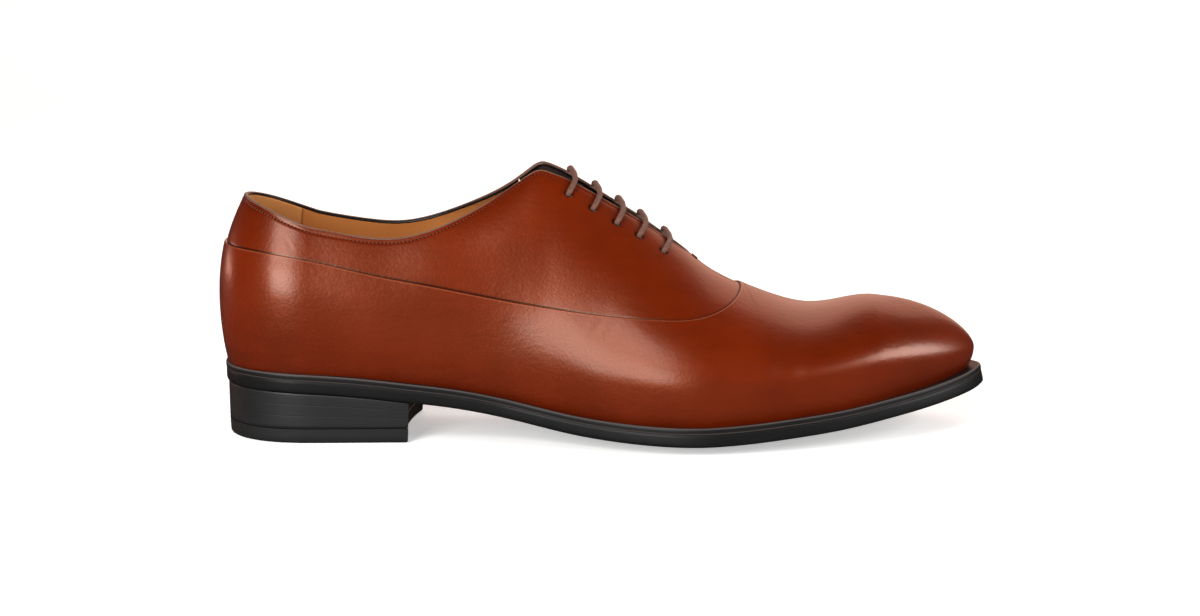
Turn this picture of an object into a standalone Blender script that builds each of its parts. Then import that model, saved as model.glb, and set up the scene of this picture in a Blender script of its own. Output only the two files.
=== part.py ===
"""Right-foot oxford shoe: a hollow upper on a true last shape, with tongue, insole, welt, outsole,
heel, heel top piece and a lace in straight bars.

Every size is in millimetres in the shoe's own frame: X runs from the back of the sole to the toe,
+Y is the inner (medial) side of the foot and Z is the height above the floor. An empty at the end
moves the whole shoe so that the origin is at the bottom centre of its box.

The upper is described by sections. A section is cut along a ray in plan: rays fan out round the
back of the heel, run straight out to each side along the foot, and fan out again round the toe.
A station says how far along the edge a ray stands, from the back (0) to the tip (STATION_END).
"""
import bmesh
import bpy
import numpy as np

MM = 0.001
LATERAL = -1
MEDIAL = 1

# Plan of the sole: the two fans of rays turn about these points.
SOLE_LENGTH = 304.2
HEEL_PIVOT = 36.0
TOE_PIVOT = 260.0
TOE_PIVOT_Y = 6.0
TOE_TIP_Y = 4.0
HEEL_ARC = 54.0
TOE_ARC = 64.0
HEEL_ROUND = 2.25
BALL_LATERAL_X = 190.0
BALL_LATERAL_WIDTH = 56.5
BALL_MEDIAL_X = 205.0
BALL_MEDIAL_WIDTH = 47.0
TOE_ROUND_LATERAL = 1.6
TOE_ROUND_MEDIAL = 1.95

# Thicknesses and clearances.
GAP = 0.3
WALL = 2.6
LAP = 0.9
OUTSOLE_THICKNESS = 5.0
SOLE_THICKNESS = 7.6
WELT_WIDTH = 14.0
INSOLE_THICKNESS = 3.0
INSOLE_CLEARANCE = 0.5
WELT_THICKNESS = 2.3
TONGUE_THICKNESS = 1.8
TOP_PIECE_THICKNESS = 6.0
FLAT_SPOT = 0.25
EDGE_CURVE = 2.4

# Heel block.
HEEL_BREAST = 75.0
BREAST_HOLLOW = 3.0
BREAST_SLANT = 3.0
HEEL_CENTRE = 38.0
BREAST_POINTS = 9

# Seam of the lower panel, and the throat.
SEAM_FRONT = 207.0
SEAM_SWEEP_START = 175.0
SEAM_SWEEP_POWER = 3.2
RIDGE_START = 132.0
THROAT_END = 186.5
THROAT_ROUND = 8.5
FACING_GAP = {LATERAL: (7.2, 4.2), MEDIAL: (2.2, 1.8)}
FACING_CORNER = 0.45

# Lacing.
EYELET_X = (137.6, 147.4, 156.8, 165.7, 175.4)
EYELET_FROM_RIDGE = {LATERAL: (16.0, 19.0), MEDIAL: (13.0, 13.0)}
EYELET_RADIUS = 1.8
LACE_RADIUS = 1.1
BAR_LIFT = 0.55
RUN_LIFT = -4.05
RUN_SHIFT = 2.8
BAR_BOW = 1.3
BAR_SHARES = (-0.75, -0.5, -0.25, 0.0, 0.25, 0.5, 0.75)
RUN_END = 3.5
RUN_POINTS = 4
LACE_CORNER = 2.4
LACE_SPACING = 2.1
EYELET_SIDES = 10
EYELET_DEPTHS = ((0.0, -5.0), (1.0, -5.0), (1.0, 2.0), (0.0, 2.0))

# Tongue.
TONGUE_TOP_X = 131.5
TONGUE_END_X = 203.0
TONGUE_HALF_TOP = 24.0
TONGUE_HALF_END = 17.0
TONGUE_DEPTH = 5.5
TONGUE_SEAT = 0.4
TONGUE_SECTIONS = 12
TONGUE_POINTS = 6

LEATHER = (0.195, 0.022, 0.004, 1.0)
LINING = (0.32, 0.12, 0.045, 1.0)
SOLE_BLACK = (0.018, 0.018, 0.019, 1.0)
LACE_BROWN = (0.085, 0.032, 0.02, 1.0)


def heel_at(angle):
    """Station of a ray in the heel fan: 0 degrees is the back, 90 the side."""
    return HEEL_ARC * angle / 90.0


def side_at(x):
    """Station of a ray that leaves the centre line straight to the side."""
    return HEEL_ARC + x - HEEL_PIVOT


def toe_at(angle):
    """Station of a ray in the toe fan: 0 degrees is the side, 90 the tip."""
    return side_at(TOE_PIVOT) + TOE_ARC * angle / 90.0


STATION_END = toe_at(90.0)

# Half-widths of the sole from the centre line, ahead of the heel fan.
LATERAL_WIDTHS = ((36, 33.3), (75, 32.8), (100, 32.8), (114, 34.2), (128, 38.0), (144, 44.2),
                  (162, 51.0), (176, 54.9), (190, 56.5))
MEDIAL_WIDTHS = ((36, 33.0), (70, 30.0), (105, 25.5), (140, 30.5), (175, 42.0), (205, 47.0))

# Centre line of the last in plan (x, y).
SPINE = ((36, 0.0), (70, 0.0), (100, 0.5), (160, 3.0), (207, 5.5), (TOE_PIVOT, TOE_PIVOT_Y))

# Underside of the sole on its centre line (x, height): heel seat, arch, tread and toe spring.
TREAD = ((0, 21.2), (36, 20.4), (60, 18.4), (75, 16.3), (90, 13.9), (105, 10.9), (120, 7.4),
         (137, 3.6), (155, 1.0), (170, 0.0), (190, 0.0), (209, 1.2), (226, 2.8), (244, 5.0),
         (262, 8.0), (280, 11.6), (291, 14.1), (SOLE_LENGTH, 17.0))
TOE_SPRING_SLOPE = 0.24

# How far the edge of the sole stands above its centre line (x, lift).
EDGE_LIFT = ((0, 0.0), (75, 0.0), (90, 0.5), (120, 1.5), (137, 2.3), (155, 3.2), (175, 3.6),
             (209, 3.4), (226, 3.2), (244, 2.7), (262, 2.2), (280, 1.2), (SOLE_LENGTH, 0.0))

# Outward lean of the sole's edge with depth (station, lean).
EDGE_LEAN = ((heel_at(0), 0.0), (side_at(100), 0.0), (side_at(175), 0.1), (toe_at(0), 0.16),
             (toe_at(90), 0.24))

# Body of each section: feather edge inside the sole's edge, widest point outside it on each side,
# the rise from one to the other, and the two handles that give the flank and the crown their fullness.
LAST_COLUMNS = ("inset", "lateral", "medial", "rise", "flank", "crown")
LAST_ROWS = ((heel_at(0), 0.5, 2.3, 2.3, 24.0, 0.45, 0.40),
             (side_at(36), 2.0, 0.8, 0.8, 22.0, 0.45, 0.40),
             (side_at(75), 2.5, 1.0, 3.0, 20.0, 0.45, 0.40),
             (side_at(110), 3.0, 0.0, 4.5, 18.0, 0.425, 0.354),
             (side_at(121), 3.15, -0.25, 3.9, 17.5, 0.39, 0.358),
             (side_at(132), 3.3, -0.5, 3.0, 17.0, 0.305, 0.408),
             (side_at(150), 3.5, -1.0, 1.5, 16.0, 0.27, 0.39),
             (side_at(185), 3.8, -1.5, -1.0, 15.0, 0.38, 0.43),
             (side_at(220), 4.0, -1.8, -1.8, 14.5, 0.50, 0.52),
             (toe_at(0), 4.3, -2.5, -2.5, 13.5, 0.50, 0.57),
             (toe_at(90), 4.6, -2.4, -2.4, 7.5, 0.32, 0.58))

# Top of each section: height of the crest, half opening there, and lean of the wall from upright in
# degrees. From the ridge's start on the two sides meet.
CREST_COLUMNS = ("height", "opening", "lean")
CREST_ROWS = ((heel_at(0), 95.8, 28.2, 26),
              (heel_at(45), 92.2, 25.5, 27),
              (side_at(36), 85.4, 24.2, 28),
              (side_at(55), 82.0, 25.0, 29),
              (side_at(70), 81.2, 24.6, 31),
              (side_at(85), 84.6, 22.2, 36),
              (side_at(100), 91.0, 16.0, 48),
              (side_at(112), 97.8, 9.5, 65),
              (side_at(120), 103.9, 4.5, 80),
              (side_at(127), 108.2, 1.0, 89.5),
              (side_at(130), 107.9, 0.17, 90),
              (side_at(RIDGE_START), 107.2, 0.0, 90),
              (side_at(136), 105.3, 0.0, 90),
              (side_at(154), 94.1, 0.0, 90),
              (side_at(165), 87.0, 0.0, 90),
              (side_at(175), 79.7, 0.0, 90),
              (side_at(186), 71.2, 0.0, 90),
              (side_at(193), 65.4, 0.0, 90),
              (side_at(200), 61.1, 0.0, 90),
              (side_at(207), 57.6, 0.0, 90),
              (side_at(221), 51.8, 0.0, 90),
              (side_at(235), 48.7, 0.0, 90),
              (side_at(247), 50.1, 0.0, 90),
              (toe_at(0), 51.9, 0.0, 90))

# Height of the lower panel's top edge (station, height), before its sweep up to the ridge.
SEAM = ((heel_at(0), 76.5), (side_at(36), 72.6), (side_at(60), 67.2), (side_at(84), 62.5),
        (side_at(110), 57.2), (side_at(135), 53.6), (side_at(160), 51.4), (side_at(187), 50.6))

# Rays used for the upper. Near the throat a ray slants forward: its x at the feather edge, at the
# seam and at the top. Ahead of the seam it runs from the feather edge to the ridge.
HEEL_STEPS = 8
TOE_STEPS = 8
UPPER_SIDE_X = (36, 46, 58, 70, 82, 93, 103, 111, 117, 122, 126, 130, 137, 147, 158, 166.5)
SLANTED_X = ((175, 175, 175), (181, 182, 179), (187, 188.5, 183), (193, 194, THROAT_END),
             (199, 198.5, 190), (205, 202.3, 194), (211, 204.8, 198), (217, 206.3, 202.5),
             (222, SEAM_FRONT, SEAM_FRONT))
VAMP_X = ((228, 215), (235, 224.5), (243, 235), (251.5, 247))
LOWER_ROWS = 9
QUARTER_ROWS = 6

# Rays used for the sole pieces.
SOLE_SIDE_X = (36, 47, 60, 74, 88, 102, 116, 130, 144, 157, 170, 183, 196, 210, 227, 244, 260)

# Edge profiles, from the middle of the top round to the middle of the underside: share of the
# reach, outset from the edge, height above the piece's own underside.
OUTSOLE_PROFILE = ((0.0, 0.0, OUTSOLE_THICKNESS), (0.45, 0.0, OUTSOLE_THICKNESS),
                   (0.8, 0.0, OUTSOLE_THICKNESS), (1.0, -0.6, OUTSOLE_THICKNESS),
                   (1.0, 0.0, 4.5), (1.0, 0.12, 2.6), (1.0, 0.0, 0.7), (1.0, -0.7, 0.0),
                   (0.86, 0.0, 0.0), (0.68, 0.0, 0.0), (0.45, 0.0, 0.0), (0.22, 0.0, 0.0),
                   (0.0, 0.0, 0.0))
INSOLE_PROFILE = ((0.0, 0.0, INSOLE_THICKNESS), (0.5, 0.0, INSOLE_THICKNESS),
                  (0.85, 0.0, INSOLE_THICKNESS), (1.0, -0.6, INSOLE_THICKNESS),
                  (1.0, 0.0, 2.4), (1.0, 0.0, 0.0), (0.85, 0.0, 0.0), (0.5, 0.0, 0.0),
                  (0.0, 0.0, 0.0))

# Section of the welt, a closed strip: outset from the sole's edge and height above its underside.
WELT_PROFILE = ((-WELT_WIDTH, WELT_THICKNESS), (-7.0, WELT_THICKNESS), (-0.2, WELT_THICKNESS),
                (0.35, 1.8), (0.35, 0.5), (-0.1, 0.0), (-7.0, 0.0), (-WELT_WIDTH, 0.0))

# Heel pieces from the middle of the top to the middle of the underside: inset from the sole's edge,
# share of the outline, and height, or None where the piece follows the sole's underside.
HEEL_PROFILE = ((0.2, 0.0, None), (0.2, 0.35, None), (0.2, 0.7, None), (0.7, 1.0, None),
                (0.9, 1.0, TOP_PIECE_THICKNESS), (0.9, 0.5, TOP_PIECE_THICKNESS),
                (0.9, 0.0, TOP_PIECE_THICKNESS))
TOP_PIECE_PROFILE = ((0.9, 0.0, TOP_PIECE_THICKNESS - GAP), (0.9, 0.5, TOP_PIECE_THICKNESS - GAP),
                     (0.9, 1.0, TOP_PIECE_THICKNESS - GAP), (1.2, 1.0, 0.6), (1.8, 1.0, 0.0),
                     (1.8, 0.5, 0.0), (1.8, 0.0, 0.0))
HEEL_SIDE_X = (HEEL_PIVOT, 48.0, 60.0)

# Order of the lacing: eyelet row and the side where its bar starts, then the side shift of the
# hidden run that follows it.
LACE_CHAIN = ((0, LATERAL, RUN_SHIFT), (2, MEDIAL, RUN_SHIFT), (4, LATERAL, 0.0),
              (3, MEDIAL, -RUN_SHIFT), (1, LATERAL, -RUN_SHIFT))


def spline(points, end_slope=0.0):
    """A smooth curve through (x, y) points, level at its start and with a given slope at its end."""
    x, y = np.array(points, float).T
    step = np.diff(x)
    rise = np.diff(y) / step
    count = len(x)
    system = np.eye(count)
    slopes = np.zeros(count)
    slopes[-1] = end_slope
    for i in range(1, count - 1):
        system[i, i - 1:i + 2] = step[i], 2.0 * (step[i - 1] + step[i]), step[i - 1]
        slopes[i] = 3.0 * (step[i] * rise[i - 1] + step[i - 1] * rise[i])
    slopes = np.linalg.solve(system, slopes)

    def curve(at):
        at = np.clip(at, x[0], x[-1])
        i = np.clip(np.searchsorted(x, at) - 1, 0, count - 2)
        t = (at - x[i]) / step[i]
        from_start = y[i] * (1 + 2 * t) + slopes[i] * step[i] * t
        from_end = y[i + 1] * (3 - 2 * t) - slopes[i + 1] * step[i] * (1 - t)
        return from_start * (1 - t) ** 2 + from_end * t ** 2

    return curve


def table_curves(columns, rows):
    """One spline over the stations for each named column of a table."""
    return {name: spline([(row[0], row[i + 1]) for row in rows]) for i, name in enumerate(columns)}


lateral_side = spline(LATERAL_WIDTHS)
medial_side = spline(MEDIAL_WIDTHS)
spine_y = spline(SPINE)
tread = spline(TREAD, TOE_SPRING_SLOPE)
edge_lift = spline(EDGE_LIFT)
edge_lean = spline(EDGE_LEAN)
seam_base = spline(SEAM)
LAST = table_curves(LAST_COLUMNS, LAST_ROWS)
CREST = table_curves(CREST_COLUMNS, CREST_ROWS)


def toe_curve(x, ball_x, half, power):
    """Superellipse from the ball to the tip: half-width left at x."""
    along = np.clip((x - ball_x) / (SOLE_LENGTH - ball_x), 0.0, 1.0)
    return half * (1.0 - along ** power) ** (1.0 / power)


def lateral_width(x):
    """Outer half-width of the sole ahead of the heel fan."""
    toe = toe_curve(x, BALL_LATERAL_X, BALL_LATERAL_WIDTH + TOE_TIP_Y, TOE_ROUND_LATERAL) - TOE_TIP_Y
    return np.where(x < BALL_LATERAL_X, lateral_side(x), toe)


def medial_width(x):
    """Inner half-width of the sole ahead of the heel fan."""
    toe = toe_curve(x, BALL_MEDIAL_X, BALL_MEDIAL_WIDTH - TOE_TIP_Y, TOE_ROUND_MEDIAL) + TOE_TIP_Y
    return np.where(x < BALL_MEDIAL_X, medial_side(x), toe)


def toe_reach_table():
    """Reach of the toe outline from the toe pivot, by angle from the outer side to the inner side."""
    x = TOE_PIVOT + (SOLE_LENGTH - TOE_PIVOT) * np.sin(np.linspace(0.0, np.pi / 2, 300))
    outer = np.stack([x, -lateral_width(x)], 1)
    inner = np.stack([x, medial_width(x)], 1)[::-1]
    outline = np.concatenate([outer, inner[1:]]) - (TOE_PIVOT, TOE_PIVOT_Y)
    return np.arctan2(outline[:, 0], -outline[:, 1]), np.hypot(outline[:, 0], outline[:, 1])


TOE_ANGLE, TOE_REACH = toe_reach_table()


def fan_angles(u):
    """Turn of a ray towards the back in the heel fan, and towards the tip in the toe fan."""
    back = np.clip(1.0 - u / HEEL_ARC, 0.0, 1.0) * np.pi / 2
    front = np.clip((u - toe_at(0)) / TOE_ARC, 0.0, 1.0) * np.pi / 2
    return back, front


def ray(u, side):
    """Start and direction, in plan, of the ray at a station."""
    back, front = fan_angles(u)
    start_x = np.clip(HEEL_PIVOT + u - HEEL_ARC, HEEL_PIVOT, TOE_PIVOT)
    toward_x = np.sin(front) - np.sin(back)
    toward_y = side * np.cos(front) * np.cos(back)
    return start_x, spine_y(start_x), toward_x, toward_y


def plan_point(u, side, distance):
    """Point in plan at a distance along a ray."""
    start_x, start_y, toward_x, toward_y = ray(u, side)
    return start_x + toward_x * distance, start_y + toward_y * distance


def sole_reach(u, side):
    """Distance along a ray from its start to the edge of the sole."""
    back, front = fan_angles(u)
    x = np.clip(HEEL_PIVOT + u - HEEL_ARC, HEEL_PIVOT, TOE_PIVOT)
    half = np.where(side < 0, lateral_width(x) + spine_y(x), medial_width(x) - spine_y(x))
    power = HEEL_ROUND
    heel = ((np.sin(back) / HEEL_PIVOT) ** power + (np.cos(back) / half) ** power) ** (-1.0 / power)
    toe = np.interp(np.where(side < 0, front, np.pi - front), TOE_ANGLE, TOE_REACH)
    return np.where(front > 0, toe, heel)


def sole_bottom(x, y):
    """Height of the sole's underside, flat on the floor where the tread touches it."""
    ahead = np.clip(x, HEEL_PIVOT, SOLE_LENGTH)
    outer = lateral_width(ahead)
    inner = medial_width(ahead)
    middle = (inner - outer) / 2.0
    half = np.maximum((inner + outer) / 2.0, TOE_PIVOT_Y)
    share = np.clip(np.abs(y - middle) / half, 0.0, 1.1)
    return np.maximum(tread(x) + edge_lift(x) * share ** EDGE_CURVE - FLAT_SPOT, 0.0)


def sole_top(x, y):
    """Height of the welt's upper face."""
    return sole_bottom(x, y) + SOLE_THICKNESS


def section_points(u, side):
    """Feather edge, widest point, crest and the two upper handles of a section, as (reach, height)."""
    reach = sole_reach(u, side)
    feather = reach - LAST["inset"](u)
    low = sole_top(*plan_point(u, side, feather)) + GAP
    wide = reach + np.where(side < 0, LAST["lateral"](u), LAST["medial"](u))
    wide_height = low + LAST["rise"](u)
    opening = np.where(u < side_at(RIDGE_START), np.maximum(CREST["opening"](u), 0.0), 0.0)
    height = CREST["height"](u)
    lean = np.radians(np.minimum(CREST["lean"](u), 90.0))
    flank_height = wide_height + LAST["flank"](u) * (height - wide_height)
    handle = LAST["crown"](u) * ((wide - opening) * np.sin(lean) + (height - wide_height) * np.cos(lean))
    crown = opening + handle * np.sin(lean)
    crown_height = height - handle * np.cos(lean)
    return (feather, low), (wide, wide_height), (wide, flank_height), (crown, crown_height), (opening, height)


def section_curve(u, tau, side):
    """Reach and height of the last's surface: tau runs from the feather edge (0) to the crest (1)."""
    feather, wide, flank, crown, crest = section_points(u, side)
    lower = np.hypot(wide[0] - feather[0], wide[1] - feather[1])
    upper = np.hypot(wide[0] - crest[0], wide[1] - crest[1])
    share = lower / (lower + upper)
    t = np.clip(tau / share, 0.0, 1.0)
    s = np.clip((tau - share) / (1.0 - share), 0.0, 1.0)
    turn = (wide[0], (feather[1] + wide[1]) / 2.0)
    curve = []
    for i in (0, 1):
        low = feather[i] * (1 - t) ** 2 + 2 * turn[i] * t * (1 - t) + wide[i] * t ** 2
        high = (wide[i] * (1 - s) ** 3 + 3 * flank[i] * s * (1 - s) ** 2
                + 3 * crown[i] * s ** 2 * (1 - s) + crest[i] * s ** 3)
        curve.append(np.where(tau < share, low, high))
    return curve


def last_point(u, tau, side):
    """Point on the last's surface; a station past the back or the tip continues on the other side."""
    u, tau, side = np.broadcast_arrays(np.asarray(u, float), tau, side)
    past = (u < 0) | (u > STATION_END)
    side = np.where(past, -side, side)
    u = np.where(u < 0, -u, np.where(u > STATION_END, 2 * STATION_END - u, u))
    reach, height = section_curve(u, tau, side)
    x, y = plan_point(u, side, reach)
    return np.stack([x, y, height], -1)


def last_normal(u, tau, side):
    """Outward unit normal of the last's surface, from small steps both ways."""
    u, tau, side = np.broadcast_arrays(np.asarray(u, float), tau, side)
    along = last_point(u + 0.05, tau, side) - last_point(u - 0.05, tau, side)
    up = last_point(u, np.minimum(tau + 0.002, 1), side) - last_point(u, np.maximum(tau - 0.002, 0), side)
    normal = np.cross(along, up) * -side[..., None]
    on_ridge = (tau >= 1.0) & (u >= side_at(RIDGE_START))
    normal[..., 1] = np.where(on_ridge, 0.0, normal[..., 1])
    at_pole = on_ridge & (u >= toe_at(0))
    normal[at_pole] = (0.0, 0.0, 1.0)
    return normal / np.linalg.norm(normal, axis=-1, keepdims=True)


def find_tau(u, side, target, axis):
    """Tau in the upper part of a section where its reach (axis 0) or height (axis 1) is the target."""
    low = np.full(np.shape(u), 0.3)
    high = np.ones(np.shape(u))
    for _ in range(40):
        middle = (low + high) / 2.0
        value = section_curve(u, middle, side)[axis]
        below = value > target if axis == 0 else value < target
        low = np.where(below, middle, low)
        high = np.where(below, high, middle)
    return high


def tau_from_crest(u, side, distance):
    """Tau at distances measured along the section from its crest."""
    tau = np.linspace(1.0, 0.0, 400)
    points = last_point(np.full(tau.shape, u), tau, side)
    lengths = np.concatenate([[0.0], np.cumsum(np.linalg.norm(np.diff(points, axis=0), axis=1))])
    return np.interp(distance, lengths, tau)


def hover(x, side, distance, lift):
    """Point at a distance from the crest and a lift above the last's surface."""
    u = side_at(x)
    tau = tau_from_crest(u, side, distance)
    return last_point(u, tau, side) + lift * last_normal(u, tau, side)


def eyelet_out(x, side):
    """Distance of the eyelets from the ridge, between those of the top and the lowest one."""
    return np.interp(x, (EYELET_X[0], EYELET_X[-1]), EYELET_FROM_RIDGE[side])


def facing_gap(x, side):
    """Gap from the ridge to one facing: none at the heel, closing in a round end below the throat."""
    taper = np.interp(x, (HEEL_PIVOT, RIDGE_START, THROAT_END), (0.0, *FACING_GAP[side]))
    into_end = np.clip((x - THROAT_END + THROAT_ROUND) / THROAT_ROUND, 0.0, 1.0)
    return taper * np.sqrt(1.0 - into_end ** 2)


def top_tau(u, side):
    """Tau of the upper's top edge: the collar, then the facing edge beside the throat."""
    opening = np.where(u < side_at(RIDGE_START), np.maximum(CREST["opening"](u), 0.0), 0.0)
    gap = facing_gap(HEEL_PIVOT + u - HEEL_ARC, side)
    edge = (opening + gap + np.hypot(opening - gap, FACING_CORNER * gap)) / 2.0
    return np.where(gap > 0, find_tau(u, side, edge, 0), 1.0)


def seam_tau(u, side):
    """Tau of the lower panel's top edge, which sweeps up to the ridge in front of the throat."""
    x = HEEL_PIVOT + u - HEEL_ARC
    sweep = np.clip((x - SEAM_SWEEP_START) / (SEAM_FRONT - SEAM_SWEEP_START), 0.0, 1.0)
    rise = CREST["height"](side_at(SEAM_FRONT)) - seam_base(STATION_END)
    height = seam_base(u) + rise * sweep ** SEAM_SWEEP_POWER
    return np.where(sweep < 1.0, find_tau(u, side, height, 1), 1.0)


def upper_rays():
    """Stations of each ray of the upper at the feather edge, at the seam and at the top."""
    heel = [heel_at(90.0 * i / HEEL_STEPS) for i in range(HEEL_STEPS)]
    side = [side_at(x) for x in UPPER_SIDE_X]
    rays = [(u, u, u) for u in heel + side]
    rays += [tuple(side_at(x) for x in row) for row in SLANTED_X]
    rays += [(side_at(feather), side_at(ridge), side_at(ridge)) for feather, ridge in VAMP_X]
    rays += [(toe_at(90.0 * i / TOE_STEPS),) * 3 for i in range(TOE_STEPS + 1)]
    return np.array(rays).T


def upper_side(side):
    """Outer and inner sheets of one side of the upper, as rows of points from bottom to top."""
    feather, seam, top = upper_rays()
    seamed = HEEL_STEPS + len(UPPER_SIDE_X) + len(SLANTED_X)
    ahead = np.arange(len(seam)) >= seamed - 1
    at_seam = np.where(ahead, 1.0, seam_tau(seam, side))
    at_top = np.where(ahead, 1.0, top_tau(top, side))
    rise = np.linspace(0.0, 1.0, LOWER_ROWS + 1)[:, None]
    lower = feather + (seam - feather) * rise, at_seam * rise
    rise = np.linspace(0.0, 1.0, QUARTER_ROWS + 1)[:, None]
    quarter = seam + (top - seam) * rise, at_seam + (at_top - at_seam) * rise
    quarter = quarter[0][:, :seamed], quarter[1][:, :seamed]
    sheets = {"lower_out": last_point(*lower, side),
              "lower_in": last_point(*lower, side) - WALL * last_normal(*lower, side),
              "quarter_out": last_point(*quarter, side) - LAP * last_normal(*quarter, side),
              "quarter_in": last_point(*quarter, side) - WALL * last_normal(*quarter, side)}
    sheets["lower_in"][0] = inner_feather(sheets["lower_out"][0], lower, side)
    return sheets


def inner_feather(outer, lower, side):
    """Inner edge of the upper's foot, level with its outer edge above the welt."""
    level = last_normal(lower[0][0], lower[1][0], side) * (1.0, 1.0, 0.0)
    level /= np.linalg.norm(level, axis=-1, keepdims=True)
    edge = outer - WALL * level
    edge[:, 2] = sole_top(edge[:, 0], edge[:, 1]) + GAP
    return edge


def sheet_faces(first, rows, columns):
    """Quads of a grid of points that starts at a given index."""
    corner = first + np.arange(rows - 1)[:, None] * columns + np.arange(columns - 1)
    return np.stack([corner, corner + 1, corner + columns + 1, corner + columns], -1).reshape(-1, 4)


def strip_faces(near, far):
    """Quads between two rows of point indices."""
    return np.stack([near[:-1], near[1:], far[1:], far[:-1]], -1)


def upper_mesh():
    """Points and faces of the whole upper, both sides, with the step at the seam and open edges closed."""
    points = []
    faces = []
    count = 0
    throat_ray = HEEL_STEPS + len(UPPER_SIDE_X) + [row[2] for row in SLANTED_X].index(THROAT_END)
    for side in (LATERAL, MEDIAL):
        index = {}
        for name, sheet in upper_side(side).items():
            rows, columns = sheet.shape[:2]
            index[name] = count + np.arange(rows * columns).reshape(rows, columns)
            faces.append(sheet_faces(count, rows, columns))
            points.append(sheet.reshape(-1, 3))
            count += rows * columns
        seamed = index["quarter_out"].shape[1]
        faces.append(strip_faces(index["lower_out"][0], index["lower_in"][0]))
        faces.append(strip_faces(index["lower_out"][-1][:seamed], index["quarter_out"][0]))
        top = slice(0, throat_ray + 1)
        faces.append(strip_faces(index["quarter_out"][-1][top], index["quarter_in"][-1][top]))
    return np.concatenate(points), np.concatenate(faces)


def sole_rays():
    """Stations and sides once round the sole, outer side first, without repeats."""
    stations = [heel_at(90.0 * i / HEEL_STEPS) for i in range(HEEL_STEPS)]
    stations += [side_at(x) for x in SOLE_SIDE_X]
    stations += [toe_at(90.0 * i / TOE_STEPS) for i in range(1, TOE_STEPS + 1)]
    back = stations[-2:0:-1]
    return np.array(stations + back), np.array([LATERAL] * len(stations) + [MEDIAL] * len(back))


def ring_mesh(rings, closed=False):
    """Points and faces of rings of points joined one to the next, and the last to the first if closed."""
    points = np.array(rings)
    rows, columns = points.shape[:2]
    index = np.arange(rows * columns).reshape(rows, columns)
    index = np.concatenate([index, index[:, :1]], 1)
    faces = [strip_faces(index[i], index[i + 1]) for i in range(rows - 1)]
    if closed:
        faces.append(strip_faces(index[-1], index[0]))
    return points.reshape(-1, 3), np.concatenate(faces)


def plate_ring(share, outset, base, height):
    """One ring of a sole piece at a share of the reach, at a height above a base surface."""
    u, side = sole_rays()
    reach = (sole_reach(u, side) + outset) * share
    x, y = plan_point(u, side, reach)
    return np.stack([x, y, base(x, y) + height], -1)


def outsole_mesh():
    """Full-length sole: flat seat, arch and toe spring, with a rounded edge that leans out downwards."""
    u, _ = sole_rays()
    rings = []
    for share, outset, height in OUTSOLE_PROFILE:
        leaning = outset + edge_lean(u) * (SOLE_THICKNESS - height)
        rings.append(plate_ring(share, leaning, sole_bottom, height))
    return ring_mesh(rings)


def welt_mesh():
    """Strip round the edge between the outsole and the upper."""
    u, _ = sole_rays()
    base = OUTSOLE_THICKNESS + GAP
    rings = []
    for outset, height in WELT_PROFILE:
        leaning = outset + edge_lean(u) * (SOLE_THICKNESS - base - height)
        rings.append(plate_ring(1.0, leaning, sole_bottom, base + height))
    return ring_mesh(rings, closed=True)


def insole_mesh():
    """Board inside the upper's foot, on the welt."""
    u, _ = sole_rays()
    inside = -(LAST["inset"](u) + WALL + INSOLE_CLEARANCE)
    rings = []
    for share, outset, height in INSOLE_PROFILE:
        rings.append(plate_ring(share, inside + outset, sole_top, GAP + height))
    return ring_mesh(rings)


def heel_outline(inset):
    """Plan of the heel: the sole's edge to the breast, then the hollow breast line."""
    stations = [heel_at(90.0 * i / HEEL_STEPS) for i in range(HEEL_STEPS)]
    stations += [side_at(x) for x in HEEL_SIDE_X]
    stations = np.array(stations)
    outer = np.stack(plan_point(stations, LATERAL, sole_reach(stations, LATERAL) - inset), -1)
    inner = np.stack(plan_point(stations, MEDIAL, sole_reach(stations, MEDIAL) - inset), -1)
    half = float(lateral_width(HEEL_BREAST)) - inset
    across = np.linspace(-1.0, 1.0, BREAST_POINTS)
    slant = BREAST_SLANT * (across + 1.0) / 2.0
    breast_x = HEEL_BREAST - inset + slant - BREAST_HOLLOW * (1.0 - across ** 2)
    inner_half = float(medial_width(HEEL_BREAST + BREAST_SLANT)) - inset
    breast_y = np.interp(across, (-1.0, 1.0), (-half, inner_half))
    return np.concatenate([outer, np.stack([breast_x, breast_y], -1), inner[:0:-1]])


def heel_ring(inset, share, height):
    """Ring of the heel at a share of its outline, level or following the sole's underside."""
    centre = np.array([HEEL_CENTRE, 0.0])
    plan = centre + (heel_outline(inset) - centre) * share
    level = sole_bottom(plan[:, 0], plan[:, 1]) - GAP if height is None else np.full(len(plan), height)
    return np.concatenate([plan, level[:, None]], 1)


def heel_mesh():
    """Heel block, tapering a little towards the floor, its top following the heel seat."""
    return ring_mesh([heel_ring(*row) for row in HEEL_PROFILE])


def top_piece_mesh():
    """Wearing piece under the heel, flat on the floor, with a small chamfer at the bottom."""
    return ring_mesh([heel_ring(*row) for row in TOP_PIECE_PROFILE])


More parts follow.
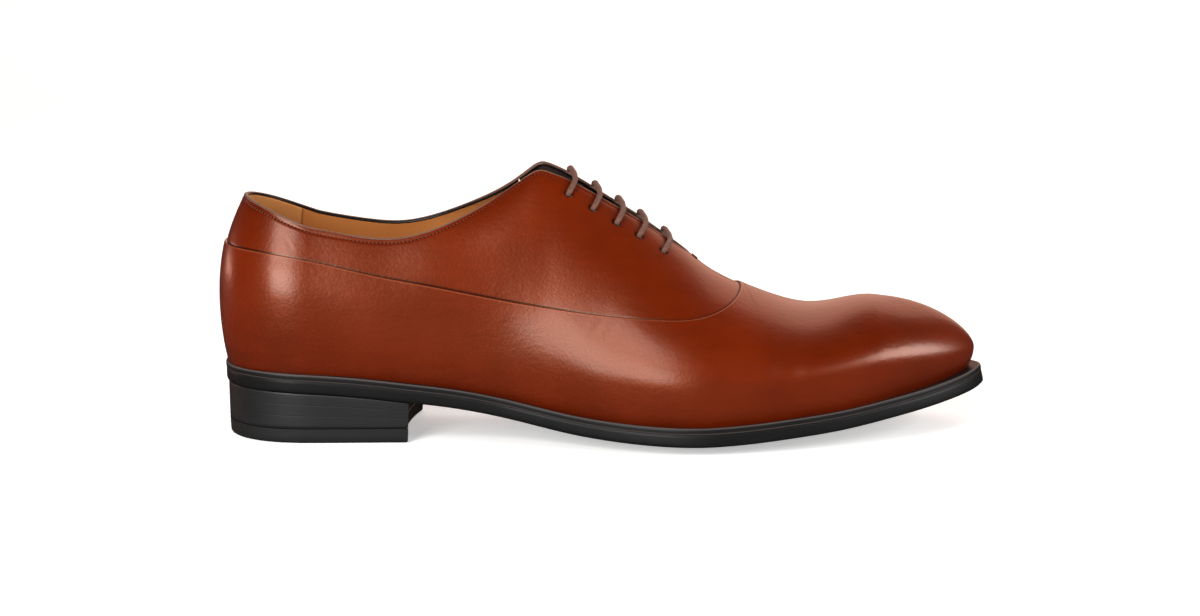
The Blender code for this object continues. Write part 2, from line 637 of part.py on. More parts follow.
def tongue_mesh():
    """Flap under the facings: follows the last, and rises to the upper's inside in front of the throat."""
    sections = []
    for x in np.linspace(TONGUE_TOP_X, TONGUE_END_X, TONGUE_SECTIONS):
        share = (x - TONGUE_TOP_X) / (TONGUE_END_X - TONGUE_TOP_X)
        half = TONGUE_HALF_TOP + (TONGUE_HALF_END - TONGUE_HALF_TOP) * share
        rise = np.clip((x - THROAT_END) / (TONGUE_END_X - THROAT_END), 0.0, 1.0)
        depth = TONGUE_DEPTH + (WALL + TONGUE_SEAT - TONGUE_DEPTH) * rise
        out = np.linspace(half, 0.0, TONGUE_POINTS)
        around = [(LATERAL, distance) for distance in out] + [(MEDIAL, distance) for distance in out[-2::-1]]
        top = [hover(x, side, distance, -depth) for side, distance in around]
        under = [hover(x, side, distance, -depth - TONGUE_THICKNESS) for side, distance in around[::-1]]
        sections.append(np.array(top + under))
    points, faces = ring_mesh(sections)
    across = len(sections[0])
    last = len(points) - across
    pairs = np.arange(across // 2)
    caps = [strip_faces(start + pairs, start + across - 1 - pairs) for start in (0, last)]
    return points, np.concatenate([faces] + caps)


def bar_points(row, side):
    """Lace up through one eyelet, over the ridge and down through the other, bowed towards the toe."""
    x = EYELET_X[row]
    near = eyelet_out(x, side)
    far = eyelet_out(x, -side)
    points = [hover(x, side, near, RUN_LIFT), hover(x, side, near, BAR_LIFT)]
    for share in BAR_SHARES:
        at = x + BAR_BOW * (1.0 - share ** 2)
        along, out = (side, near) if share <= 0 else (-side, far)
        points.append(hover(at, along, out * abs(share), BAR_LIFT))
    points += [hover(x, -side, far, BAR_LIFT), hover(x, -side, far, RUN_LIFT)]
    return points


def run_points(start_x, end_x, side, shift):
    """Hidden stretch of lace under the facing, set off from the line of the eyelets."""
    inset = RUN_END * np.sign(end_x - start_x)
    places = np.linspace(start_x + inset, end_x - inset, RUN_POINTS)
    return [hover(x, side, eyelet_out(x, side) + shift, RUN_LIFT) for x in places]


def lace_route():
    """Whole route of the lace, from under one top eyelet to under the other."""
    points = []
    for i, (row, side, shift) in enumerate(LACE_CHAIN):
        points += bar_points(row, side)
        next_row = LACE_CHAIN[i + 1][0] if i + 1 < len(LACE_CHAIN) else 0
        points += run_points(EYELET_X[row], EYELET_X[next_row], -side, shift)
    return smooth_route(np.array(points), LACE_CORNER, LACE_SPACING)


def resample(route, spacing):
    """Points at even spacing along a route."""
    lengths = np.concatenate([[0.0], np.cumsum(np.linalg.norm(np.diff(route, axis=0), axis=1))])
    places = np.linspace(0.0, lengths[-1], int(round(lengths[-1] / spacing)) + 1)
    return np.stack([np.interp(places, lengths, route[:, i]) for i in range(3)], 1)


def smooth_route(route, reach, spacing):
    """Rounds the corners of a route over a given reach, then spaces its points evenly."""
    fine = 0.1
    dense = resample(route, fine)
    half = int(reach / fine / 2)
    weight = np.hanning(2 * half + 3)[1:-1]
    weight /= weight.sum()
    padded = np.concatenate([np.repeat(dense[:1], half, 0), dense, np.repeat(dense[-1:], half, 0)])
    rounded = np.stack([np.convolve(padded[:, i], weight, "valid") for i in range(3)], 1)
    return resample(rounded, spacing)


def new_material(name, colour, roughness):
    """Principled material with one colour."""
    material = bpy.data.materials.new(name)
    material.use_nodes = True
    shader = material.node_tree.nodes["Principled BSDF"]
    shader.inputs["Base Color"].default_value = colour
    shader.inputs["Roughness"].default_value = roughness
    shader.inputs["Metallic"].default_value = 0.0
    return material


def add_object(name, data, root, material=None):
    """Puts a mesh or curve into the scene under the root empty."""
    piece = bpy.data.objects.new(name, data)
    bpy.context.scene.collection.objects.link(piece)
    piece.parent = root
    if material:
        data.materials.append(material)
    return piece


def add_mesh(name, points, faces, root, material=None):
    """Solid from points in millimetres: doubles are merged and the faces turned outwards."""
    mesh = bpy.data.meshes.new(name)
    mesh.from_pydata((points * MM).tolist(), [], faces.tolist())
    work = bmesh.new()
    work.from_mesh(mesh)
    bmesh.ops.remove_doubles(work, verts=work.verts, dist=2e-6)
    bmesh.ops.recalc_face_normals(work, faces=work.faces)
    work.to_mesh(mesh)
    work.free()
    mesh.shade_smooth()
    mesh.set_sharp_from_angle(angle=np.radians(40.0))
    return add_object(name, mesh, root, material)


def add_lace(root, material):
    """Round lace as one curve with a bevel."""
    curve = bpy.data.curves.new("lace", "CURVE")
    curve.dimensions = "3D"
    curve.bevel_depth = LACE_RADIUS * MM
    curve.bevel_resolution = 1
    curve.use_fill_caps = True
    route = lace_route() * MM
    strand = curve.splines.new("POLY")
    strand.points.add(len(route) - 1)
    for point, place in zip(strand.points, route):
        point.co = (*place, 1.0)
    return add_object("lace", curve, root, material)


def cut_eyelets(upper, root):
    """Ten round holes through the facings, square to the leather."""
    turn = 2.0 * np.pi * np.arange(EYELET_SIDES) / EYELET_SIDES
    points = []
    faces = []
    for x in EYELET_X:
        for side in (LATERAL, MEDIAL):
            out = eyelet_out(x, side)
            axis = hover(x, side, out, 1.0) - hover(x, side, out, 0.0)
            across = np.cross(axis, (1.0, 0.0, 0.0))
            across /= np.linalg.norm(across)
            round_hole = EYELET_RADIUS * (np.cos(turn)[:, None] * across
                                          + np.sin(turn)[:, None] * np.cross(axis, across))
            rings = []
            for share, lift in EYELET_DEPTHS:
                rings.append(hover(x, side, out, lift) + round_hole * share)
            hole_points, hole_faces = ring_mesh(rings)
            faces.append(hole_faces + sum(len(p) for p in points))
            points.append(hole_points)
    cutter = add_mesh("eyelet_cutter", np.concatenate(points), np.concatenate(faces), root)
    cutter.hide_render = True
    cutter.display_type = "WIRE"
    holes = upper.modifiers.new("eyelets", "BOOLEAN")
    holes.operation = "DIFFERENCE"
    holes.solver = "EXACT"
    holes.object = cutter


def centre_on_floor(root, pieces):
    """Moves the root so that the origin is at the bottom centre of the whole shoe."""
    corners = np.array([corner[:] for piece in pieces for corner in piece.bound_box])
    low = corners.min(0)
    high = corners.max(0)
    root.location = (-(low[0] + high[0]) / 2.0, -(low[1] + high[1]) / 2.0, -low[2])


def main():
    """Clears the scene and builds every piece of the shoe."""
    for old in list(bpy.data.objects):
        bpy.data.objects.remove(old, do_unlink=True)
    root = bpy.data.objects.new("shoe", None)
    bpy.context.scene.collection.objects.link(root)
    leather = new_material("burnished calf", LEATHER, 0.28)
    lining = new_material("lining leather", LINING, 0.6)
    black = new_material("black sole leather", SOLE_BLACK, 0.4)
    rubber = new_material("black heel rubber", SOLE_BLACK, 0.55)
    cotton = new_material("waxed cotton", LACE_BROWN, 0.7)
    pieces = [add_mesh("upper", *upper_mesh(), root, leather),
              add_mesh("tongue", *tongue_mesh(), root, leather),
              add_mesh("insole", *insole_mesh(), root, lining),
              add_mesh("welt", *welt_mesh(), root, black),
              add_mesh("outsole", *outsole_mesh(), root, black),
              add_mesh("heel", *heel_mesh(), root, black),
              add_mesh("heel_top_piece", *top_piece_mesh(), root, rubber)]
    centre_on_floor(root, pieces)
    cut_eyelets(pieces[0], root)
    add_lace(root, cotton)


main()
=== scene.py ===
# %% [markdown]
# # A burnished calf oxford for the right foot
# A dress shoe is a skin of calf leather pulled tight over a wooden foot, the last, and sewn to a
# sole. This lesson dresses a plain model of such a shoe: the leather with its seam, the lining, the
# rolled top edge, the stitches, the lace and the black sole each become a piece of their own.
# Sizes of the shoe and places of the camera are in millimetres, those of floor and lights in metres.

import bmesh
import bpy
import numpy as np
from mathutils import Matrix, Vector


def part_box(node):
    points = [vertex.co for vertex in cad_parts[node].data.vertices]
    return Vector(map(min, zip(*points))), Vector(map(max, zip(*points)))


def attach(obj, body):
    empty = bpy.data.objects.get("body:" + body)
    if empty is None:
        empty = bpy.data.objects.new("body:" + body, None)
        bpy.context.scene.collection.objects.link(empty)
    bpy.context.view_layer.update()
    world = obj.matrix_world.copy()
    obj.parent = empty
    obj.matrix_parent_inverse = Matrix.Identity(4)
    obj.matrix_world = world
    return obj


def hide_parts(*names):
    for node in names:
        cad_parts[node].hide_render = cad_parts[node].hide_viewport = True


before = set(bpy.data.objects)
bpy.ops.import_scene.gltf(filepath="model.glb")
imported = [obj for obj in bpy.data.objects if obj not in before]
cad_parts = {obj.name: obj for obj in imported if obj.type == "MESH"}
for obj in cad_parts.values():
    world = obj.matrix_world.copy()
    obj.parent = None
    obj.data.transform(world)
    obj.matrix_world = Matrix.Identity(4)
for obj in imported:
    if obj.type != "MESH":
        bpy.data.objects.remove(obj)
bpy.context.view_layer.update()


# %% [markdown]
# ## The shoe's own frame
# A shoemaker measures from the back of the sole and from the centre line of the heel, so the tables
# below do too: X runs to the toe, +Y to the inner side of the foot and Z up from the floor. The
# plain model has its origin on the floor under the middle of its box instead. The back and the middle
# of the heel's wearing piece are known in both frames, so they tell how far apart the origins are.

# %% Shift between the two frames
MM = 0.001
LATERAL = -1
MEDIAL = 1
TOP_PIECE_BACK = 0.9
TOP_PIECE_MIDDLE = -0.15

rest_low, rest_high = (np.array(corner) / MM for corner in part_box("heel_top_piece"))
ORIGIN = np.array([TOP_PIECE_BACK - rest_low[0],
                   TOP_PIECE_MIDDLE - (rest_low[1] + rest_high[1]) / 2.0, 0.0])
print("model origin in the shoe's frame, mm:", ORIGIN.round(2))

# %% [markdown]
# ## Smooth curves through a few measures
# A last is known by a handful of widths and heights. A cubic spline joins them without corners, the
# way a thin batten bends through pins, so a short table gives a whole fair surface.

# %% Splines
def spline(points, end_slope=0.0):
    """Cubic through (x, y) points with equal slopes and bends at the joins, level at its start."""
    x, y = np.array(points, float).T
    step = np.diff(x)
    rise = np.diff(y) / step
    count = len(x)
    system = np.eye(count)
    slopes = np.zeros(count)
    slopes[-1] = end_slope
    for i in range(1, count - 1):
        system[i, i - 1:i + 2] = step[i], 2.0 * (step[i - 1] + step[i]), step[i - 1]
        slopes[i] = 3.0 * (step[i] * rise[i - 1] + step[i - 1] * rise[i])
    slopes = np.linalg.solve(system, slopes)

    def curve(at):
        at = np.clip(at, x[0], x[-1])
        i = np.clip(np.searchsorted(x, at) - 1, 0, count - 2)
        t = (at - x[i]) / step[i]
        from_start = y[i] * (1 + 2 * t) + slopes[i] * step[i] * t
        from_end = y[i + 1] * (3 - 2 * t) - slopes[i + 1] * step[i] * (1 - t)
        return from_start * (1 - t) ** 2 + from_end * t ** 2

    return curve


print("a level-ended rise of 10, a quarter of the way along:", float(spline([(0, 0), (4, 10)])(1.0)))

# %% [markdown]
# ## Plan of the sole
# Seen from above, a right shoe bows out at the ball on its outer side and is hollow at the waist on
# its inner side. Rays leave the centre line: they fan round the heel, run straight out along the
# foot and fan again round the toe. A station counts along the edge from the back to the tip.

# %% Outline
SOLE_LENGTH = 304.2
HEEL_PIVOT = 36.0
TOE_PIVOT = 260.0
TOE_PIVOT_Y = 6.0
TOE_TIP_Y = 4.0
HEEL_ARC = 54.0
TOE_ARC = 64.0
HEEL_ROUND = 2.25
# Place of the ball, half-width there and power of the curve from there to the tip.
BALL_LATERAL = 190.0, 56.5, 1.6
BALL_MEDIAL = 205.0, 47.0, 1.95


def heel_at(angle):
    """Station of a ray in the heel fan: 0 degrees is the back, 90 the side."""
    return HEEL_ARC * angle / 90.0


def side_at(x):
    """Station of a ray that leaves the centre line straight to the side."""
    return HEEL_ARC + x - HEEL_PIVOT


def toe_at(angle):
    """Station of a ray in the toe fan: 0 degrees is the side, 90 the tip."""
    return side_at(TOE_PIVOT) + TOE_ARC * angle / 90.0


STATION_END = toe_at(90.0)
lateral_side = spline([(36, 33.3), (75, 32.8), (100, 32.8), (114, 34.2), (128, 38.0), (144, 44.2),
                       (162, 51.0), (176, 54.9), (190, 56.5)])
medial_side = spline([(36, 33.0), (70, 30.0), (105, 25.5), (140, 30.5), (175, 42.0), (205, 47.0)])
spine_y = spline([(36, 0.0), (70, 0.0), (100, 0.5), (160, 3.0), (207, 5.5), (TOE_PIVOT, TOE_PIVOT_Y)])


def toe_curve(x, ball_x, half, power):
    """Superellipse from the ball to the tip: half-width left at x."""
    along = np.clip((x - ball_x) / (SOLE_LENGTH - ball_x), 0.0, 1.0)
    return half * (1.0 - along ** power) ** (1.0 / power)


def lateral_width(x):
    """Outer half-width of the sole ahead of the heel fan."""
    ball_x, width, power = BALL_LATERAL
    return np.where(x < ball_x, lateral_side(x), toe_curve(x, ball_x, width + TOE_TIP_Y, power) - TOE_TIP_Y)


def medial_width(x):
    """Inner half-width of the sole ahead of the heel fan."""
    ball_x, width, power = BALL_MEDIAL
    return np.where(x < ball_x, medial_side(x), toe_curve(x, ball_x, width - TOE_TIP_Y, power) + TOE_TIP_Y)


print("widest at the ball, mm:", round(BALL_LATERAL[1] + float(medial_width(BALL_LATERAL[0])), 1))

# %% [markdown]
# Round the toe the outline is known by its width at each length, but a ray asks how far it is to the
# edge at an angle. So the outline is walked once in fine steps, and its angles and reaches are kept
# to look up.

# %% Rays
TOE_POINTS = 3000


def toe_reach_table():
    """Reach of the toe outline from the toe pivot, by angle from the outer side to the inner side."""
    x = TOE_PIVOT + (SOLE_LENGTH - TOE_PIVOT) * np.sin(np.linspace(0.0, np.pi / 2, TOE_POINTS))
    outer = np.stack([x, -lateral_width(x)], 1)
    inner = np.stack([x, medial_width(x)], 1)[::-1]
    outline = np.concatenate([outer, inner[1:]]) - (TOE_PIVOT, TOE_PIVOT_Y)
    return np.arctan2(outline[:, 0], -outline[:, 1]), np.hypot(outline[:, 0], outline[:, 1])


TOE_ANGLE, TOE_REACH = toe_reach_table()


def fan_angles(u):
    """Turn of a ray towards the back in the heel fan, and towards the tip in the toe fan."""
    back = np.clip(1.0 - u / HEEL_ARC, 0.0, 1.0) * np.pi / 2
    front = np.clip((u - toe_at(0)) / TOE_ARC, 0.0, 1.0) * np.pi / 2
    return back, front


def plan_point(u, side, distance):
    """Point in plan at a distance along the ray of a station."""
    back, front = fan_angles(u)
    start_x = np.clip(HEEL_PIVOT + u - HEEL_ARC, HEEL_PIVOT, TOE_PIVOT)
    toward_x = np.sin(front) - np.sin(back)
    toward_y = side * np.cos(front) * np.cos(back)
    return start_x + toward_x * distance, spine_y(start_x) + toward_y * distance


def sole_reach(u, side):
    """Distance along a ray from its start to the edge of the sole."""
    back, front = fan_angles(u)
    x = np.clip(HEEL_PIVOT + u - HEEL_ARC, HEEL_PIVOT, TOE_PIVOT)
    half = np.where(side < 0, lateral_width(x) + spine_y(x), medial_width(x) - spine_y(x))
    power = HEEL_ROUND
    heel = ((np.sin(back) / HEEL_PIVOT) ** power + (np.cos(back) / half) ** power) ** (-1.0 / power)
    toe = np.interp(np.where(side < 0, front, np.pi - front), TOE_ANGLE, TOE_REACH)
    return np.where(front > 0, toe, heel)


print("reach from the toe pivot to the tip, mm:", round(float(sole_reach(STATION_END, LATERAL)), 1))

# %% [markdown]
# ## Height of the sole
# A leather sole is not flat. It rises over the arch to meet the heel, and springs up at the toe so
# that the foot can roll. Its edge also curls up a little beside the tread.

# %% Tread
GAP = 0.3
SOLE_THICKNESS = 7.6
FLAT_SPOT = 0.25
EDGE_CURVE = 2.4
EDGE_PAST = 1.1
tread = spline([(0, 21.2), (36, 20.4), (60, 18.4), (75, 16.3), (90, 13.9), (105, 10.9), (120, 7.4),
                (137, 3.6), (155, 1.0), (170, 0.0), (190, 0.0), (209, 1.2), (226, 2.8), (244, 5.0),
                (262, 8.0), (280, 11.6), (291, 14.1), (SOLE_LENGTH, 17.0)], end_slope=0.24)
edge_lift = spline([(0, 0.0), (75, 0.0), (90, 0.5), (120, 1.5), (137, 2.3), (155, 3.2), (175, 3.6),
                    (209, 3.4), (226, 3.2), (244, 2.7), (262, 2.2), (280, 1.2), (SOLE_LENGTH, 0.0)])
edge_lean = spline([(heel_at(0), 0.0), (side_at(100), 0.0), (side_at(175), 0.1), (toe_at(0), 0.16),
                    (toe_at(90), 0.24)])


def sole_bottom(x, y):
    """Height of the sole's underside: the tread curve, plus the curl of the edge, flat on the floor."""
    ahead = np.clip(x, HEEL_PIVOT, SOLE_LENGTH)
    outer = lateral_width(ahead)
    inner = medial_width(ahead)
    half = np.maximum((inner + outer) / 2.0, TOE_PIVOT_Y)
    share = np.clip(np.abs(y - (inner - outer) / 2.0) / half, 0.0, EDGE_PAST)
    return np.maximum(tread(x) + edge_lift(x) * share ** EDGE_CURVE - FLAT_SPOT, 0.0)


def sole_top(x, y):
    """Height of the welt's upper face."""
    return sole_bottom(x, y) + SOLE_THICKNESS


print("toe spring, mm:", float(sole_bottom(SOLE_LENGTH, TOE_TIP_Y)))

# %% [markdown]
# ## Surface of the last
# Across the foot each section is two curves: a short one from the sole's feather edge out to the
# widest point, and a long one from there over to the crest. At the collar the crest is the open top
# edge. Ahead of it the two sides meet in a ridge over the instep.

# %% Sections
RIDGE_START = 132.0
# Station, inset of the feather edge, bulge outside and inside, rise to the widest point, two handles.
LAST_ROWS = ((heel_at(0), 0.5, 2.3, 2.3, 24.0, 0.45, 0.40),
             (side_at(36), 2.0, 0.8, 0.8, 22.0, 0.45, 0.40),
             (side_at(75), 2.5, 1.0, 3.0, 20.0, 0.45, 0.40),
             (side_at(110), 3.0, 0.0, 4.5, 18.0, 0.425, 0.354),
             (side_at(121), 3.15, -0.25, 3.9, 17.5, 0.39, 0.358),
             (side_at(132), 3.3, -0.5, 3.0, 17.0, 0.305, 0.408),
             (side_at(150), 3.5, -1.0, 1.5, 16.0, 0.27, 0.39),
             (side_at(185), 3.8, -1.5, -1.0, 15.0, 0.38, 0.43),
             (side_at(220), 4.0, -1.8, -1.8, 14.5, 0.50, 0.52),
             (toe_at(0), 4.3, -2.5, -2.5, 13.5, 0.50, 0.57),
             (toe_at(90), 4.6, -2.4, -2.4, 7.5, 0.32, 0.58))
# Station, height, half-width of the opening, lean in degrees.
CREST_ROWS = ((heel_at(0), 95.8, 28.2, 26), (heel_at(45), 92.2, 25.5, 27), (side_at(36), 85.4, 24.2, 28),
              (side_at(55), 82.0, 25.0, 29), (side_at(70), 81.2, 24.6, 31), (side_at(85), 84.6, 22.2, 36),
              (side_at(100), 91.0, 16.0, 48), (side_at(112), 97.8, 9.5, 65), (side_at(120), 103.9, 4.5, 80),
              (side_at(127), 108.2, 1.0, 89.5), (side_at(130), 107.9, 0.17, 90),
              (side_at(RIDGE_START), 107.2, 0.0, 90),
              (side_at(136), 105.3, 0.0, 90), (side_at(154), 94.1, 0.0, 90), (side_at(165), 87.0, 0.0, 90),
              (side_at(175), 79.7, 0.0, 90), (side_at(186), 71.2, 0.0, 90), (side_at(193), 65.4, 0.0, 90),
              (side_at(200), 61.1, 0.0, 90), (side_at(207), 57.6, 0.0, 90), (side_at(221), 51.8, 0.0, 90),
              (side_at(235), 48.7, 0.0, 90), (side_at(247), 50.1, 0.0, 90), (toe_at(0), 51.9, 0.0, 90))
inset, out_lateral, out_medial, rise_to_wide, flank_handle, crown_handle = (
    spline([(row[0], row[i]) for row in LAST_ROWS]) for i in range(1, 7))
crest_height, crest_opening, crest_lean = (
    spline([(row[0], row[i]) for row in CREST_ROWS]) for i in range(1, 4))


def opening_at(u):
    """Half-width of the collar's opening: none from the ridge's start on."""
    return np.where(u < side_at(RIDGE_START), np.maximum(crest_opening(u), 0.0), 0.0)


def section_points(u, side):
    """Feather edge, widest point, two handles and crest of a section, as (reach, height)."""
    reach = sole_reach(u, side)
    feather = reach - inset(u)
    low = sole_top(*plan_point(u, side, feather)) + GAP
    wide = reach + np.where(side < 0, out_lateral(u), out_medial(u))
    wide_height = low + rise_to_wide(u)
    opening = opening_at(u)
    height = crest_height(u)
    lean = np.radians(np.minimum(crest_lean(u), 90.0))
    flank_height = wide_height + flank_handle(u) * (height - wide_height)
    slant = (wide - opening) * np.sin(lean) + (height - wide_height) * np.cos(lean)
    handle = crown_handle(u) * slant
    crown = opening + handle * np.sin(lean)
    crown_height = height - handle * np.cos(lean)
    return (feather, low), (wide, wide_height), (wide, flank_height), (crown, crown_height), (opening, height)


def section_curve(u, tau, side):
    """Quadratic Bezier up to the widest point, cubic Bezier to the crest; tau runs from 0 to 1."""
    feather, wide, flank, crown, crest = section_points(u, side)
    lower = np.hypot(wide[0] - feather[0], wide[1] - feather[1])
    upper = np.hypot(wide[0] - crest[0], wide[1] - crest[1])
    share = lower / (lower + upper)
    t = np.clip(tau / share, 0.0, 1.0)
    s = np.clip((tau - share) / (1.0 - share), 0.0, 1.0)
    turn = (wide[0], (feather[1] + wide[1]) / 2.0)
    curve = []
    for i in (0, 1):
        low = feather[i] * (1 - t) ** 2 + 2 * turn[i] * t * (1 - t) + wide[i] * t ** 2
        high = (wide[i] * (1 - s) ** 3 + 3 * flank[i] * s * (1 - s) ** 2
                + 3 * crown[i] * s ** 2 * (1 - s) + crest[i] * s ** 3)
        curve.append(np.where(tau < share, low, high))
    return curve


print("height of the instep, mm:", float(crest_height(side_at(RIDGE_START))))

# %% [markdown]
# A place on the last has two numbers: its station, and tau, which runs from 0 at the feather edge to
# 1 at the crest. From them come the point and the direction square to the leather. Seams and rows of
# stitches are known by a height or by a distance from an edge, so those are turned into tau here.

# %% Walking over the last
NUDGE_U = 0.05
NUDGE_TAU = 0.002
LOWEST_TAU = 0.3
HALVINGS = 40
DOWN_STEPS = 240


def last_point(u, tau, side):
    """Point on the last; a station past the back or the tip continues on the other side."""
    u, tau, side = np.broadcast_arrays(np.asarray(u, float), tau, side)
    past = (u < 0) | (u > STATION_END)
    side = np.where(past, -side, side)
    u = np.where(u < 0, -u, np.where(u > STATION_END, 2 * STATION_END - u, u))
    reach, height = section_curve(u, tau, side)
    x, y = plan_point(u, side, reach)
    return np.stack([x, y, height], -1)


def unit(vectors):
    """Vectors of length one."""
    return vectors / np.linalg.norm(vectors, axis=-1, keepdims=True)


def last_normal(u, tau, side):
    """Outward normal of the last: cross product of small steps along it and up it."""
    u, tau, side = np.broadcast_arrays(np.asarray(u, float), tau, side)
    along = last_point(u + NUDGE_U, tau, side) - last_point(u - NUDGE_U, tau, side)
    higher, lower = np.minimum(tau + NUDGE_TAU, 1), np.maximum(tau - NUDGE_TAU, 0)
    up = last_point(u, higher, side) - last_point(u, lower, side)
    normal = np.cross(along, up) * -side[..., None]
    on_ridge = (tau >= 1.0) & (u >= side_at(RIDGE_START))
    normal[..., 1] = np.where(on_ridge, 0.0, normal[..., 1])
    normal[on_ridge & (u >= toe_at(0))] = (0.0, 0.0, 1.0)
    return unit(normal)


def find_tau(u, side, target, axis):
    """Tau where a section's reach (axis 0) or height (axis 1) is the target, by halving."""
    low = np.full(np.shape(u), LOWEST_TAU)
    high = np.ones(np.shape(u))
    for _ in range(HALVINGS):
        middle = (low + high) / 2.0
        value = section_curve(u, middle, side)[axis]
        below = value > target if axis == 0 else value < target
        low = np.where(below, middle, low)
        high = np.where(below, high, middle)
    return high


def tau_below(u, side, start, distance):
    """Tau at a distance down each section, measured along the surface from the tau `start`."""
    u, side, start, distance = np.broadcast_arrays(np.asarray(u, float), side, start, distance)
    tau = start * np.linspace(1.0, 0.0, DOWN_STEPS)[:, None]
    steps = np.linalg.norm(np.diff(last_point(u, tau, side), axis=0), axis=-1)
    lengths = np.concatenate([np.zeros((1, len(u))), np.cumsum(steps, 0)])
    place = np.clip((lengths < distance).sum(0) - 1, 0, len(tau) - 2)
    each = np.arange(len(u))
    share = (distance - lengths[place, each]) / steps[place, each]
    return tau[place, each] + share * (tau[place + 1, each] - tau[place, each])


def hover(x, side, distance, lift):
    """Points at a distance from the crest and a lift above the last, for arrays of places."""
    x, side, distance = np.broadcast_arrays(np.atleast_1d(np.asarray(x, float)), side, distance)
    u = side_at(x)
    tau = tau_below(u, side, 1.0, distance)
    return last_point(u, tau, side) + np.reshape(lift, (-1, 1)) * last_normal(u, tau, side)


print("back of the heel, halfway up, mm:", last_point(0.0, 0.5, LATERAL).round(1))

# %% [markdown]
# ## Making finishes
# Finishes are node materials. Colours are given as they look on a screen and turned into light values
# by one function. Most pieces have a mottled finish: two close colours mixed by a cloudy noise, with a
# finer noise for the feel of the surface. Only the calf needs more.

# %% Colours and finishes
def linear(code):
    """Screen colour as hex to linear light."""
    value = np.array([int(code[i:i + 2], 16) for i in (1, 3, 5)]) / 255.0
    light = np.where(value <= 0.04045, value / 12.92, ((value + 0.055) / 1.055) ** 2.4)
    return (*light.tolist(), 1.0)


def add_node(tree, kind, inputs=None, **settings):
    """Adds one node; an input is another node's socket to link, or a value to set."""
    node = tree.nodes.new(kind)
    for name, value in settings.items():
        setattr(node, name, value)
    for socket, value in (inputs or {}).items():
        if isinstance(value, bpy.types.NodeSocket):
            tree.links.new(value, node.inputs[socket])
        else:
            node.inputs[socket].default_value = value
    return node


def new_material(name):
    """Empty node material with a shader: returns the material, its tree and the shader."""
    material = bpy.data.materials.new(name)
    material.use_nodes = True
    return material, material.node_tree, material.node_tree.nodes["Principled BSDF"]


def set_shader(tree, shader, **inputs):
    """Sets or links the shader's sockets; an underscore stands for the space in a name."""
    for name, value in inputs.items():
        socket = shader.inputs[name.replace("_", " ")]
        if isinstance(value, bpy.types.NodeSocket):
            tree.links.new(value, socket)
        else:
            socket.default_value = value


def mottled(name, dark, light, cloud, grain, bump, over=None, **shading):
    """Two colours mixed by a cloud, with a grain as bump, and one more colour laid over by an attribute.

    Cloud and grain are (cells a metre along X, Y and Z, detail), bump is (strength, depth in metres) and
    over is (attribute, colour). On a Mix node, inputs 0, 6 and 7 are share and colours, output 2 the result.
    """
    material, tree, shader = new_material(name)
    place = add_node(tree, "ShaderNodeTexCoord").outputs["Object"]
    noises = []
    for scale, detail in (cloud, grain):
        drawn = add_node(tree, "ShaderNodeMapping", {"Vector": place, "Scale": scale})
        noise = add_node(tree, "ShaderNodeTexNoise", {"Vector": drawn.outputs[0], "Scale": 1.0,
                                                      "Detail": detail})
        noises.append(noise.outputs["Fac"])
    colour = add_node(tree, "ShaderNodeMix", {0: noises[0], 6: linear(dark), 7: linear(light)},
                      data_type="RGBA")
    if over:
        share = add_node(tree, "ShaderNodeAttribute", attribute_name=over[0]).outputs["Fac"]
        colour = add_node(tree, "ShaderNodeMix", {0: share, 6: colour.outputs[2], 7: linear(over[1])},
                          data_type="RGBA")
    feel = add_node(tree, "ShaderNodeBump", {"Strength": bump[0], "Distance": bump[1], "Height": noises[1]})
    set_shader(tree, shader, Base_Color=colour.outputs[2], Normal=feel.outputs[0], **shading)
    return material


print("middle grey on a screen is", round(linear("#808080")[0], 3), "of white in light")

# %% [markdown]
# ## Making pieces
# Each piece is a grid of points joined by four-sided faces. Doubles where two grids meet are merged,
# so the piece is one closed skin, and its faces are turned outwards.

# %% Faces and pieces
def turns(count):
    """Even steps once round a circle."""
    return 2.0 * np.pi * np.arange(count) / count


def grid_faces(index, around=False):
    """Quads over a grid of point numbers, closed sideways if it goes around."""
    if around:
        index = np.concatenate([index, index[:, :1]], 1)
    corners = [index[:-1, :-1], index[:-1, 1:], index[1:, 1:], index[1:, :-1]]
    return np.stack(corners, -1).reshape(-1, 4)


def strip_faces(near, far):
    """Quads between two rows of point numbers."""
    return grid_faces(np.stack([near, far]))


def sheet_faces(near, far):
    """Faces of two grids of point numbers that lie face to face, joined round all four edges."""
    rims = [(near[end], far[end]) for end in (0, -1)] + [(near[:, end], far[:, end]) for end in (0, -1)]
    return np.concatenate([grid_faces(near), grid_faces(far)] + [strip_faces(*rim) for rim in rims])


def stacked_faces(shape, loop=False):
    """Faces of several ring stacks, each closed around, and closed end to end if it is a loop."""
    index = np.arange(np.prod(shape[:3])).reshape(shape[:3])
    if loop:
        index = np.concatenate([index, index[:, :1]], 1)
    return np.concatenate([grid_faces(stack, around=True) for stack in index])


def ring_faces(shape, loop=False):
    """Faces of one stack of rings."""
    return stacked_faces((1, *shape[:2]), loop)


